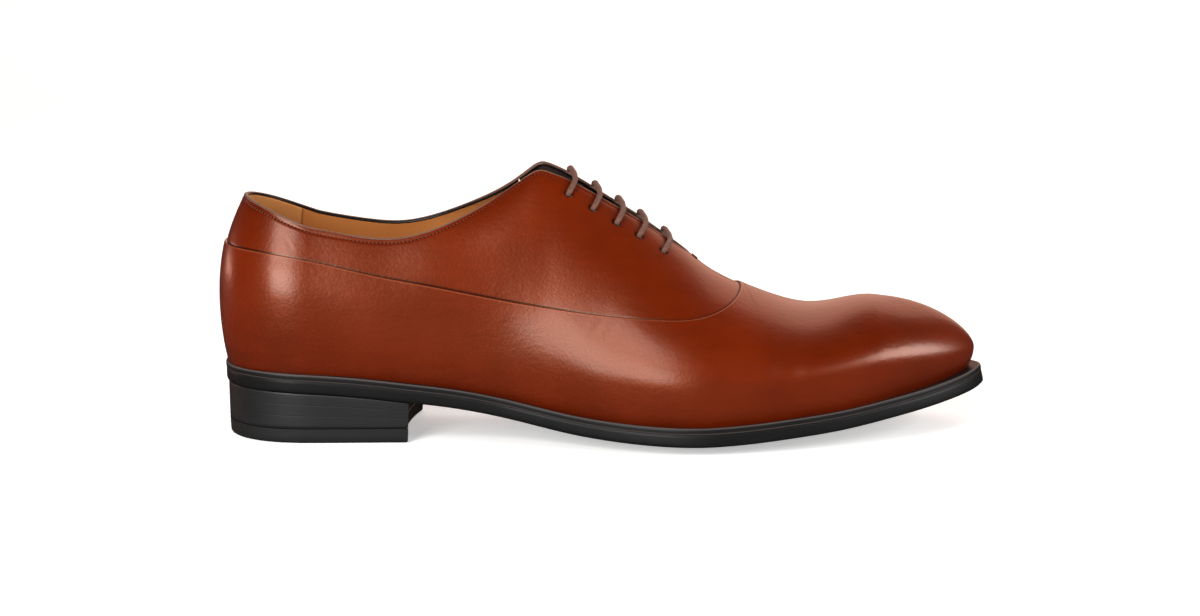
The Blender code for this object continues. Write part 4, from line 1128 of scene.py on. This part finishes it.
# Waxed thread: two close colours from the twist, and a dull shine.
THREAD_FINISH = {"cloud": ((2600.0, 2600.0, 2600.0), 2.0), "grain": ((2600.0, 2600.0, 2600.0), 2.0),
                 "bump": (0.3, 0.0001), "Roughness": 0.6, "Specular_IOR_Level": 0.1}
thread = mottled("waxed_thread", "#642312", "#85402a", **THREAD_FINISH)
# The holes' near-black is painted shade inside each hole.
hole_dark = mottled("needle_hole", "#180703", "#260c06", **THREAD_FINISH)
pale_thread = mottled("pale_thread", "#b8a898", "#d8ccbe", **THREAD_FINISH)


def stitch_row(side):
    """Places, directions and normals of the stitches on one side, from the heel to the throat."""
    top = columns(SEAMED, SKIN_STEPS)[2]
    top = top[top < side_at(ROW_END_X)]
    tau = tau_below(top, side, top_tau(top, side), ROW_FROM_EDGE)
    row = last_point(top, tau, side) - (LAP + VALLEY_DEPTH) * last_normal(top, tau, side)
    above = even(row + last_normal(top, tau, side), STITCH_STEP)
    row = even(row, STITCH_STEP)[:len(above)]
    above = above[:len(row)]
    return row, unit(np.gradient(row, axis=0)), unit(above - row)


def add_pills(name, places, along, normal, size, finish):
    """Copies of a ball, one at each place, with half-sizes along the row, across it and up from it."""
    turn = turns(PILL_SIDES)
    rise = np.linspace(-np.pi / 2, np.pi / 2, PILL_RINGS)[:, None]
    ball = np.stack([np.sin(rise) + 0.0 * turn, np.cos(rise) * np.cos(turn), np.cos(rise) * np.sin(turn)], -1)
    frames = np.stack([along, np.cross(normal, along), normal], 1)
    points = places[:, None, None] + np.einsum("rtk,nkj->nrtj", ball * size, frames)
    add_piece(name, points, stacked_faces(points.shape), finish, "burnished_calf")


rows = [stitch_row(side) for side in (LATERAL, MEDIAL)]
places, along, normal = (np.concatenate([row[i] for row in rows]) for i in range(3))
add_pills("edge_stitches", places, along, normal, STITCH_SIZE, thread)
# Needle holes: dark pills of painted shade.
add_pills("needle_holes", places + along * STITCH_STEP / 2.0, along, normal, PINHOLE_SIZE, hole_dark)

# %% [markdown]
# A bar tack closes the bottom of the throat, where lacing would tear it open. It is a few long
# stitches side by side across the ridge. A short tack in pale thread holds the roll on the outer side,
# where the collar rises to the facing.

# %% Tacks
TACK_X = 187.9
TACK_THREADS = 5
TACK_SPACING = 0.42
TACK_LIFT = 0.15
TACK_SIZE = 2.3, 0.3, 0.32
EDGE_TACK_X = 117.5
EDGE_TACK_DEPTH = 1.0
EDGE_TACK_SIZE = 0.9, 0.8, 0.7
ACROSS = 0.0, 1.0, 0.0
UPRIGHT = 0.0, 0.0, 1.0


def add_tack(name, x, tau, depth, along, size, finish):
    """Threads side by side on the outer side, sunk to a depth below the last."""
    u = side_at(x)
    normal = last_normal(u, tau, LATERAL)
    places = last_point(u, tau, LATERAL) - depth * normal
    add_pills(name, places, np.tile(along, (len(x), 1)), normal, size, finish)


tack_x = TACK_X + TACK_SPACING * np.arange(TACK_THREADS)
add_tack("throat_tack", tack_x, np.ones(TACK_THREADS), LAP - TACK_LIFT, ACROSS, TACK_SIZE, thread)
edge_x = np.array([EDGE_TACK_X])
add_tack("edge_tack", edge_x, edge_tau(side_at(edge_x), LATERAL), EDGE_TACK_DEPTH, UPRIGHT, EDGE_TACK_SIZE,
         pale_thread)

# %% [markdown]
# ## Tongue
# The tongue is a flap of thin leather under the facings. Only a dark strip of it shows between them.
# It follows the last a few millimetres down and rises at its front, where it is sewn to the vamp.

# %% Tongue
TONGUE_X = 131.5, 203.0
TONGUE_HALF = 24.0, 17.0
TONGUE_DEPTH = 5.5
TONGUE_FRONT_DEPTH = 3.0
TONGUE_THICKNESS = 1.8
TONGUE_TONE = 0.4
TONGUE_SECTIONS = 60
TONGUE_POINTS = 25


def tongue_mesh():
    """Two sheets across the ridge at depths below the last, joined round their edges."""
    x = np.linspace(*TONGUE_X, TONGUE_SECTIONS)
    half = np.interp(x, TONGUE_X, TONGUE_HALF)[:, None]
    share = np.linspace(-1.0, 1.0, 2 * TONGUE_POINTS - 1)
    rise = np.clip((x - THROAT_END) / (TONGUE_X[1] - THROAT_END), 0.0, 1.0)[:, None]
    depth = TONGUE_DEPTH + (TONGUE_FRONT_DEPTH - TONGUE_DEPTH) * rise
    grid = np.broadcast_arrays(x[:, None], np.where(share < 0, LATERAL, MEDIAL), half * np.abs(share), depth)
    at_x, side, distance, depth = (part.ravel() for part in grid)
    top = hover(at_x, side, distance, -depth)
    under = hover(at_x, side, distance, -depth - TONGUE_THICKNESS)
    index = np.arange(2 * at_x.size).reshape(2, TONGUE_SECTIONS, -1)
    return np.concatenate([top, under]), sheet_faces(*index)


tongue_points, tongue_faces = tongue_mesh()
tongue_values = {"tone_and_painted_light": np.full(len(tongue_points), TONGUE_TONE)}
add_piece("tongue_flap", tongue_points, tongue_faces, tongue_leather, "burnished_calf", ["tongue"],
          tongue_values)

# %% [markdown]
# ## Lace
# The lace is thin, round, waxed cotton braided from eight strands. It is laced in straight bars, so
# each bar crosses over the ridge between two eyelets and the runs between bars hide under the
# facings. Both ends stop under the top eyelets.

# %% Route of the lace
BAR_SHARE = np.linspace(-0.75, 0.75, 7)
BAR_LIFT = 0.55
BAR_BOW = 2.4
BOW_PEAK = -0.45
BOW_REACH = 0.65
RUN_LIFT = -4.05
RUN_SHIFT = 2.8
RUN_END = 3.5
RUN_POINTS = 4
# Eyelet row of each bar in the order of lacing, side where it comes up, shift of the run that follows.
LACE_CHAIN = ((0, LATERAL, RUN_SHIFT), (2, MEDIAL, RUN_SHIFT), (4, LATERAL, 0.0),
              (3, MEDIAL, -RUN_SHIFT), (1, LATERAL, -RUN_SHIFT))


def lace_route():
    """Route up through an eyelet, over the bowed bar, down and along under the facing to the next."""
    parts = []
    share = BAR_SHARE
    for i, (row, side, shift) in enumerate(LACE_CHAIN):
        x = EYELET_X[row]
        from_peak = np.clip((-side * share - BOW_PEAK) / BOW_REACH, -1.0, 1.0)
        bar_x = np.concatenate([[x, x], x + BAR_BOW * np.cos(from_peak * np.pi / 2) ** 2, [x, x]])
        bar_side = np.concatenate([[side, side], np.where(share <= 0, side, -side), [-side, -side]])
        near, far = eyelet_out(x, side), eyelet_out(x, -side)
        bar_out = np.concatenate([[near, near], np.abs(share) * np.where(share <= 0, near, far), [far, far]])
        bar_lift = np.concatenate([[RUN_LIFT], np.full(len(share) + 2, BAR_LIFT), [RUN_LIFT]])
        parts.append(hover(bar_x, bar_side, bar_out, bar_lift))
        next_x = EYELET_X[LACE_CHAIN[(i + 1) % len(LACE_CHAIN)][0]]
        inset_x = RUN_END * np.sign(next_x - x)
        run_x = np.linspace(x + inset_x, next_x - inset_x, RUN_POINTS)
        parts.append(hover(run_x, -side, eyelet_out(run_x, -side) + shift, np.full(RUN_POINTS, RUN_LIFT)))
    return np.concatenate(parts)


print("bars of the lace:", len(LACE_CHAIN))

# %% [markdown]
# The corners of the route are rounded, as a lace bends, and rings are set round it. The braid is a small
# ripple on the tube: one wave winding each way.

# %% Lace
LACE_RADIUS = 1.08
LACE_STEP = 0.3
LACE_SIDES = 24
LACE_SHARP = 75.0
LACE_CORNER = 2.4
BRAID_STRANDS = 4
BRAID_PITCH = 3.0
BRAID_HEIGHT = 0.07
ASIDE = 0.31, 0.17, 0.93
# Waxed cotton: streaky brown, a soft edge of stray fibre and a low shine.
LACE_FINISH = {"cloud": ((1500.0, 1500.0, 1500.0), 4.0), "grain": ((1500.0, 1500.0, 1500.0), 4.0),
               "bump": (0.25, 0.0002), "Roughness": 0.55, "Specular_IOR_Level": 0.3, "Sheen_Weight": 0.08}


def tube(path, radius, sides, pattern):
    """Rings round a path, square to it; the pattern adds to the radius by turn and by ring.

    The first spoke may point any way across the path. Each ring's is the ring's before, made square to
    the path again, so the tube doesn't twist.
    """
    run = unit(np.gradient(path, axis=0))
    first = unit(np.cross(run, np.roll(run, 1) + ASIDE))
    for i in range(1, len(path)):
        first[i] = first[i - 1] - run[i] * (first[i - 1] @ run[i])
        first[i] /= np.linalg.norm(first[i])
    second = np.cross(run, first)
    turn = turns(sides)
    reach = radius + pattern(turn, np.arange(len(path))[:, None])
    spokes = np.cos(turn)[:, None] * first[:, None] + np.sin(turn)[:, None] * second[:, None]
    return path[:, None] + reach[..., None] * spokes


def rounded(route, reach, fine=0.1):
    """Route with its corners rounded by a moving average with a bell-shaped weight."""
    dense = even(route, fine)
    half = int(reach / fine / 2)
    weight = np.hanning(2 * half + 3)[1:-1]
    weight /= weight.sum()
    padded = np.concatenate([np.repeat(dense[:1], half, 0), dense, np.repeat(dense[-1:], half, 0)])
    return np.stack([np.convolve(padded[:, i], weight, "valid") for i in range(3)], 1)


def braid(turn, ring):
    """Ripple of the braid: the product of a wave that winds one way and a wave that winds the other."""
    wind = 2.0 * np.pi * ring * LACE_STEP / BRAID_PITCH
    return BRAID_HEIGHT * np.cos(BRAID_STRANDS * turn + wind) * np.cos(BRAID_STRANDS * turn - wind)


lace_path = even(rounded(lace_route(), LACE_CORNER), LACE_STEP)
lace_rings = tube(lace_path, LACE_RADIUS, LACE_SIDES, braid)
lace_caps = [np.repeat(end[None, None], LACE_SIDES, 1) for end in (lace_path[0], lace_path[-1])]
lace_rings = np.concatenate([lace_caps[0], lace_rings, lace_caps[1]])
lace_cotton = mottled("waxed_cotton", "#45281f", "#7c5546", **LACE_FINISH)
add_piece("lace_strand", lace_rings, ring_faces(lace_rings.shape), lace_cotton, "lace_cotton", ["lace"],
          sharp=LACE_SHARP)
print("lace length, mm:", round(float(np.linalg.norm(np.diff(lace_path, axis=0), axis=1).sum()), 1))

# %% [markdown]
# ## Sole, welt and heel
# Welt, outsole and heel are leather too. Outsole, welt and insole are each a stack of rings: the sole's
# outline moved in or out by a profile, at heights above a base surface.

# %% Rings of the sole
HEEL_STEPS = 40
SIDE_STEPS = 150
TOE_STEPS = 60


def ring_stations():
    """Stations and sides once round the sole, outer side first."""
    stations = np.concatenate([np.linspace(0.0, heel_at(90), HEEL_STEPS)[:-1],
                               np.linspace(heel_at(90), toe_at(0), SIDE_STEPS)[:-1],
                               np.linspace(toe_at(0), toe_at(90), TOE_STEPS)])
    back = stations[-2:0:-1]
    sides = np.concatenate([np.full(len(stations), LATERAL), np.full(len(back), MEDIAL)])
    return np.concatenate([stations, back]), sides


def sole_rings(profile, base, inside=None):
    """Rings at (share of the reach, outset, height above a base surface).

    The edge leans outwards. An insole has an outset of its own, `inside`, in place of that lean.
    """
    u, side = ring_stations()
    share, outset, height = np.array(profile, float).T[:, :, None]
    lean = edge_lean(u) * (SOLE_THICKNESS - height) if inside is None else inside
    reach = (sole_reach(u, side) + outset + lean) * share
    x, y = plan_point(u, side, reach)
    return np.stack([x, y, base(x, y) + height], -1)


print("points round a ring:", len(ring_stations()[0]))

# %% [markdown]
# The edge of the sole is trimmed, inked black and waxed with a hot iron. That leaves a dull black with
# faint lines from the trimming knife. A grey line painted along the top corner of the welt stands for
# its highlight.

# %% Edge ink
# The grey laid over the welt's top corner is a painted highlight.
INK_FINISH = {"cloud": ((70.0, 70.0, 70.0), 6.0), "grain": ((150.0, 150.0, 2600.0), 2.0),
              "bump": (0.04, 0.0003), "over": ("highlight_and_wear", "#7d6f6a"),
              "Coat_Weight": 0.04, "Coat_Roughness": 0.25}
edge_ink, welt_ink, heel_ink = (
    mottled(name, dark, light, Roughness=rough, Specular_IOR_Level=shine, **INK_FINISH)
    for name, dark, light, rough, shine in (("black_edge_ink", "#0c0c0c", "#161515", 0.5, 0.14),
                                            ("black_welt_ink", "#0f0e0e", "#1a1919", 0.48, 0.15),
                                            ("black_heel_ink", "#121212", "#1d1d1d", 0.5, 0.32)))
print("inks:", edge_ink.name, welt_ink.name, heel_ink.name)

# %% [markdown]
# The outsole runs from heel to toe with its lower corner rounded off. The welt lies on it as a ring
# round the foot of the calf, and the joint between them is pressed shut to a hairline. The insole with
# its sock fills the floor of the shoe inside the lining.

# %% Outsole, welt and insole
# Share of the reach, outset and height of each ring.
OUTSOLE_PROFILE = ((0, 0, 5), (0.45, 0, 5), (0.8, 0, 5), (1, -1.2, 5), (1, -0.4, 5), (1, 0.02, 4.98),
                   (1, 0.1, 4.85), (1, 0.12, 3.8), (1, 0.12, 2.6), (1, 0.08, 1.5), (1, -0.02, 0.75),
                   (1, -0.2, 0.35), (1, -0.5, 0.08), (1, -0.9, 0), (0.86, 0, 0), (0.68, 0, 0), (0.45, 0, 0),
                   (0.22, 0, 0), (0, 0, 0))
WELT_BASE = 5.3
WELT_PROFILE = tuple((1, outset, WELT_BASE + height) for outset, height in (
    (-14, 2.3), (-7, 2.3), (-3, 2.3), (-1.2, 2.3), (-0.75, 2.36), (-0.35, 2.34), (-0.05, 2.2), (0.18, 1.95),
    (0.3, 1.6), (0.3, 1.1), (0.24, 0.4), (0.18, -0.08), (0.06, -0.2), (-0.6, -0.2), (-7, -0.2), (-14, -0.2)))
# Painted highlight by the outset of the ring, on the welt's top corner.
ARRIS_HIGHLIGHT = {-0.35: 0.12, -0.05: 0.45, 0.18: 0.25}
INSOLE_PROFILE = ((0, 0, 3), (0.5, 0, 3), (0.85, 0, 3), (1, -0.9, 3), (1, -0.4, 2.9), (1, 0, 2.5), (1, 0, 0),
                  (0.85, 0, 0), (0.5, 0, 0), (0, 0, 0))
INSOLE_CLEAR = 0.5

rings = sole_rings(OUTSOLE_PROFILE, sole_bottom)
add_piece("outsole_leather", rings, ring_faces(rings.shape), edge_ink, "sole_leather", ["outsole"])
rings = sole_rings(WELT_PROFILE, sole_bottom)
# Painted highlight along the welt's top corner.
highlight_and_wear = np.repeat([ARRIS_HIGHLIGHT.get(outset, 0.0) for _, outset, _ in WELT_PROFILE], rings.shape[1])
add_piece("welt_strip", rings, ring_faces(rings.shape, loop=True), welt_ink, "sole_leather", ["welt"],
          {"highlight_and_wear": highlight_and_wear})
insole_outset = -(inset(ring_stations()[0]) + WALL + INSOLE_CLEAR)
rings = sole_rings(INSOLE_PROFILE, lambda x, y: sole_top(x, y) + GAP, insole_outset)
add_piece("insole_sock", rings, ring_faces(rings.shape), lining_tan, "lining_leather", ["insole"])

# %% [markdown]
# The heel is a stack of leather lifts, glued, trimmed and inked as one block. The joints between the
# lifts stay faintly visible as fine lines. Its front face, the breast, is cut hollow. Under it sits a
# wearing piece of black rubber.

# %% Heel
HEEL_BREAST = 75.0
HEEL_SIDE_END = 72.0
BREAST_HOLLOW = 3.0
BREAST_SLANT = 3.0
HEEL_CENTRE = np.array([38.0, 0.0])
HEEL_INSET = 0.9
HEEL_TAPER = 0.2
TOP_PIECE_THICKNESS = 6.0
LIFT_JOINTS = 0.36, 0.68, 0.93
JOINT_DEPTH = 0.03
JOINT_HEIGHT = 0.012
SIDE_ROWS = np.linspace(0.03, 0.97, 16)
JOINT_ROWS = JOINT_HEIGHT * np.linspace(-2.2, 2.2, 9)
HEEL_SIDE_STEPS = 24
BREAST_STEPS = 41
# Inset, share of the outline, and 0 for level or 1 for the sole's underside, from the foot to the seat.
HEEL_FOOT_ROWS = ((HEEL_INSET, 0.0, 0.0), (HEEL_INSET, 0.5, 0.0), (HEEL_INSET, 0.95, 0.0), (1.15, 1.0, 0.0))
HEEL_SEAT_ROWS = ((0.95, 1.0, 1.0), (HEEL_INSET, 0.95, 1.0), (HEEL_INSET, 0.5, 1.0), (HEEL_INSET, 0.0, 1.0))


def heel_outline(inset_by):
    """Plan of the heel: the sole's edge to the breast, then the hollow breast line."""
    u = np.concatenate([np.linspace(0.0, heel_at(90), HEEL_STEPS)[:-1],
                        side_at(np.linspace(HEEL_PIVOT, HEEL_SIDE_END, HEEL_SIDE_STEPS))])
    outer = np.stack(plan_point(u, LATERAL, sole_reach(u, LATERAL) - inset_by), -1)
    inner = np.stack(plan_point(u, MEDIAL, sole_reach(u, MEDIAL) - inset_by), -1)
    across = np.linspace(-1.0, 1.0, BREAST_STEPS)
    slant = BREAST_SLANT * (across + 1.0) / 2.0
    breast_x = HEEL_BREAST - inset_by + slant - BREAST_HOLLOW * (1.0 - across ** 2)
    ends = (inset_by - float(lateral_width(HEEL_BREAST)),
            float(medial_width(HEEL_BREAST + BREAST_SLANT)) - inset_by)
    breast_y = np.interp(across, (-1.0, 1.0), ends)
    return np.concatenate([outer, np.stack([breast_x, breast_y], -1), inner[:0:-1]])


def heel_ring(inset_by, share, height, follow):
    """Ring of the heel; follow 0 keeps it level at the height, 1 lifts it to the sole's underside."""
    plan = HEEL_CENTRE + (heel_outline(inset_by) - HEEL_CENTRE) * share
    seat = sole_bottom(plan[:, 0], plan[:, 1]) - GAP
    return np.concatenate([plan, (height + (seat - height) * follow)[:, None]], 1)


def heel_side(share):
    """Inset of the heel's side: a slight taper, with a fine groove at each joint of the lifts."""
    groove = sum(bell(share, joint, JOINT_HEIGHT) for joint in LIFT_JOINTS)
    return HEEL_INSET - HEEL_TAPER * share + JOINT_DEPTH * groove


side_shares = np.unique(np.concatenate([SIDE_ROWS] + [joint + JOINT_ROWS for joint in LIFT_JOINTS]))
side_rows = tuple((float(heel_side(share)), 1.0, share) for share in side_shares)
heel_rings = np.array([heel_ring(inset_by, share, TOP_PIECE_THICKNESS, follow)
                       for inset_by, share, follow in HEEL_FOOT_ROWS + side_rows + HEEL_SEAT_ROWS])
add_piece("heel_stack", heel_rings, ring_faces(heel_rings.shape), heel_ink, "sole_leather", ["heel"])

# The wearing piece's rings: inset, share of the outline, height.
TOP_PIECE_ROWS = ((0.9, 0.0, 5.7), (0.9, 0.5, 5.7), (1.15, 1.0, 5.7), (0.92, 1.0, 5.5), (1.0, 1.0, 3.0),
                  (1.12, 1.0, 0.7), (1.35, 1.0, 0.25), (1.8, 1.0, 0.0), (1.8, 0.5, 0.0), (1.8, 0.0, 0.0))
heel_rubber = mottled("black_heel_rubber", "#101010", "#1a1a1a", Roughness=0.6, Specular_IOR_Level=0.32,
                      **INK_FINISH)
top_rings = np.array([heel_ring(*row, 0.0) for row in TOP_PIECE_ROWS])
add_piece("heel_top_rubber", top_rings, ring_faces(top_rings.shape), heel_rubber, "heel_rubber",
          ["heel_top_piece"])

# %% [markdown]
# ## Studio
# The shoe stands on a pale floor. It glows faintly, as a lit sweep of paper does, and it isn't mirrored in
# the leather, because that would wash out the dark flanks.

# %% Floor
FLOOR_SIZE = 16.0
FLOOR_GLOW = 0.45

floor_mesh = bpy.data.meshes.new("floor")
half = FLOOR_SIZE / 2.0
corners = [(-half, -half, 0), (half, -half, 0), (half, half, 0), (-half, half, 0)]
floor_mesh.from_pydata(corners, [], [(0, 1, 2, 3)])
floor = bpy.data.objects.new("floor", floor_mesh)
bpy.context.scene.collection.objects.link(floor)
floor.visible_glossy = False
floor_paint, floor_tree, floor_shader = new_material("pale_floor")
set_shader(floor_tree, floor_shader, Base_Color=linear("#f2f1ef"), Roughness=0.7, Specular_IOR_Level=0.2,
           Emission_Color=linear("#ffffff"), Emission_Strength=FLOOR_GLOW)
floor_mesh.materials.append(floor_paint)
print("floor, m:", FLOOR_SIZE)

# %% [markdown]
# Six soft lights stand round it. The pair on the left draws the reflections down the heel and on the
# side, the one on the right the streak on the toe, and a low card behind the heel its pale rim. A tall
# warm wall behind the shoe gives the sheen over vamp and toe. The broad light from above and behind only
# whitens the floor, so it isn't mirrored in the leather.

# %% Lights
SHOE_MIDDLE = 0.0, 0.0, 0.05
# Name, place, aim and size in metres, watts and colour of each light.
LIGHTS = (("left_softbox", (-0.69, -1.26, 0.4), SHOE_MIDDLE, (0.62, 0.6), 17.0, "#ffffff"),
          ("left_top_softbox", (-0.66, -1.10, 1.05), SHOE_MIDDLE, (0.7, 0.6), 14.0, "#ffffff"),
          ("right_softbox", (1.2, -0.32, 0.52), SHOE_MIDDLE, (0.8, 0.46), 13.0, "#ffffff"),
          ("heel_softbox", (-1.5, 0.75, 0.09), SHOE_MIDDLE, (0.5, 0.16), 2.0, "#ffc4b0"),
          ("warm_wall", (0.4, 2.3, 1.02), SHOE_MIDDLE, (2.2, 2.0), 21.0, "#ffc4aa"),
          ("back_softbox", (0.0, 2.6, 2.8), (0.0, 2.2, 0.0), (5.0, 2.6), 55.0, "#ffffff"))
FLOOR_LIGHT = "back_softbox"
WORLD_STRENGTH = 0.04


def aim_at(thing, place, target):
    """Puts a light or camera at a place, looking at a target."""
    look = np.asarray(target) - np.asarray(place)
    back = unit(-look)
    right = unit(np.cross((0.0, 0.0, 1.0), back))
    up = np.cross(back, right)
    turned = np.eye(4)
    turned[:3] = np.stack([right, up, back, place], 1)
    thing.matrix_world = Matrix(turned.tolist())


for name, place, aim, size, watts, colour in LIGHTS:
    lamp = bpy.data.lights.new(name, "AREA")
    lamp.shape = "RECTANGLE"
    lamp.size, lamp.size_y = size
    lamp.energy = watts
    lamp.color = linear(colour)[:3]
    light = bpy.data.objects.new(name, lamp)
    bpy.context.scene.collection.objects.link(light)
    light.visible_glossy = name != FLOOR_LIGHT
    aim_at(light, place, aim)

world = bpy.data.worlds.new("studio")
world.use_nodes = True
background = world.node_tree.nodes["Background"]
background.inputs["Color"].default_value = linear("#ffffff")
background.inputs["Strength"].default_value = WORLD_STRENGTH
bpy.context.scene.world = world
print("lights:", len(LIGHTS))

# %% [markdown]
# The camera looks at the outer side from a little above, nearly square to it, with a long lens. That keeps
# heel and toe in true proportion.

# %% Camera
AIM = np.array([150.0, 0.0, 48.0])
CAMERA_DISTANCE = 1100.0
CAMERA_ELEVATION = np.radians(10.3)
CAMERA_YAW = np.radians(0.9)
LENS = 82.0

target = (AIM - ORIGIN) * MM
level = np.array([np.sin(CAMERA_YAW), np.cos(CAMERA_YAW), 0.0])
forward = level * np.cos(CAMERA_ELEVATION) - np.array([0.0, 0.0, np.sin(CAMERA_ELEVATION)])
camera_data = bpy.data.cameras.new("camera")
camera_data.lens = LENS
camera = bpy.data.objects.new("camera", camera_data)
bpy.context.scene.collection.objects.link(camera)
aim_at(camera, (target - forward * CAMERA_DISTANCE * MM).tolist(), target)
bpy.context.scene.camera = camera
bpy.context.scene.view_settings.view_transform = "Standard"
print("camera at, m:", [round(value, 3) for value in camera.matrix_world.translation])
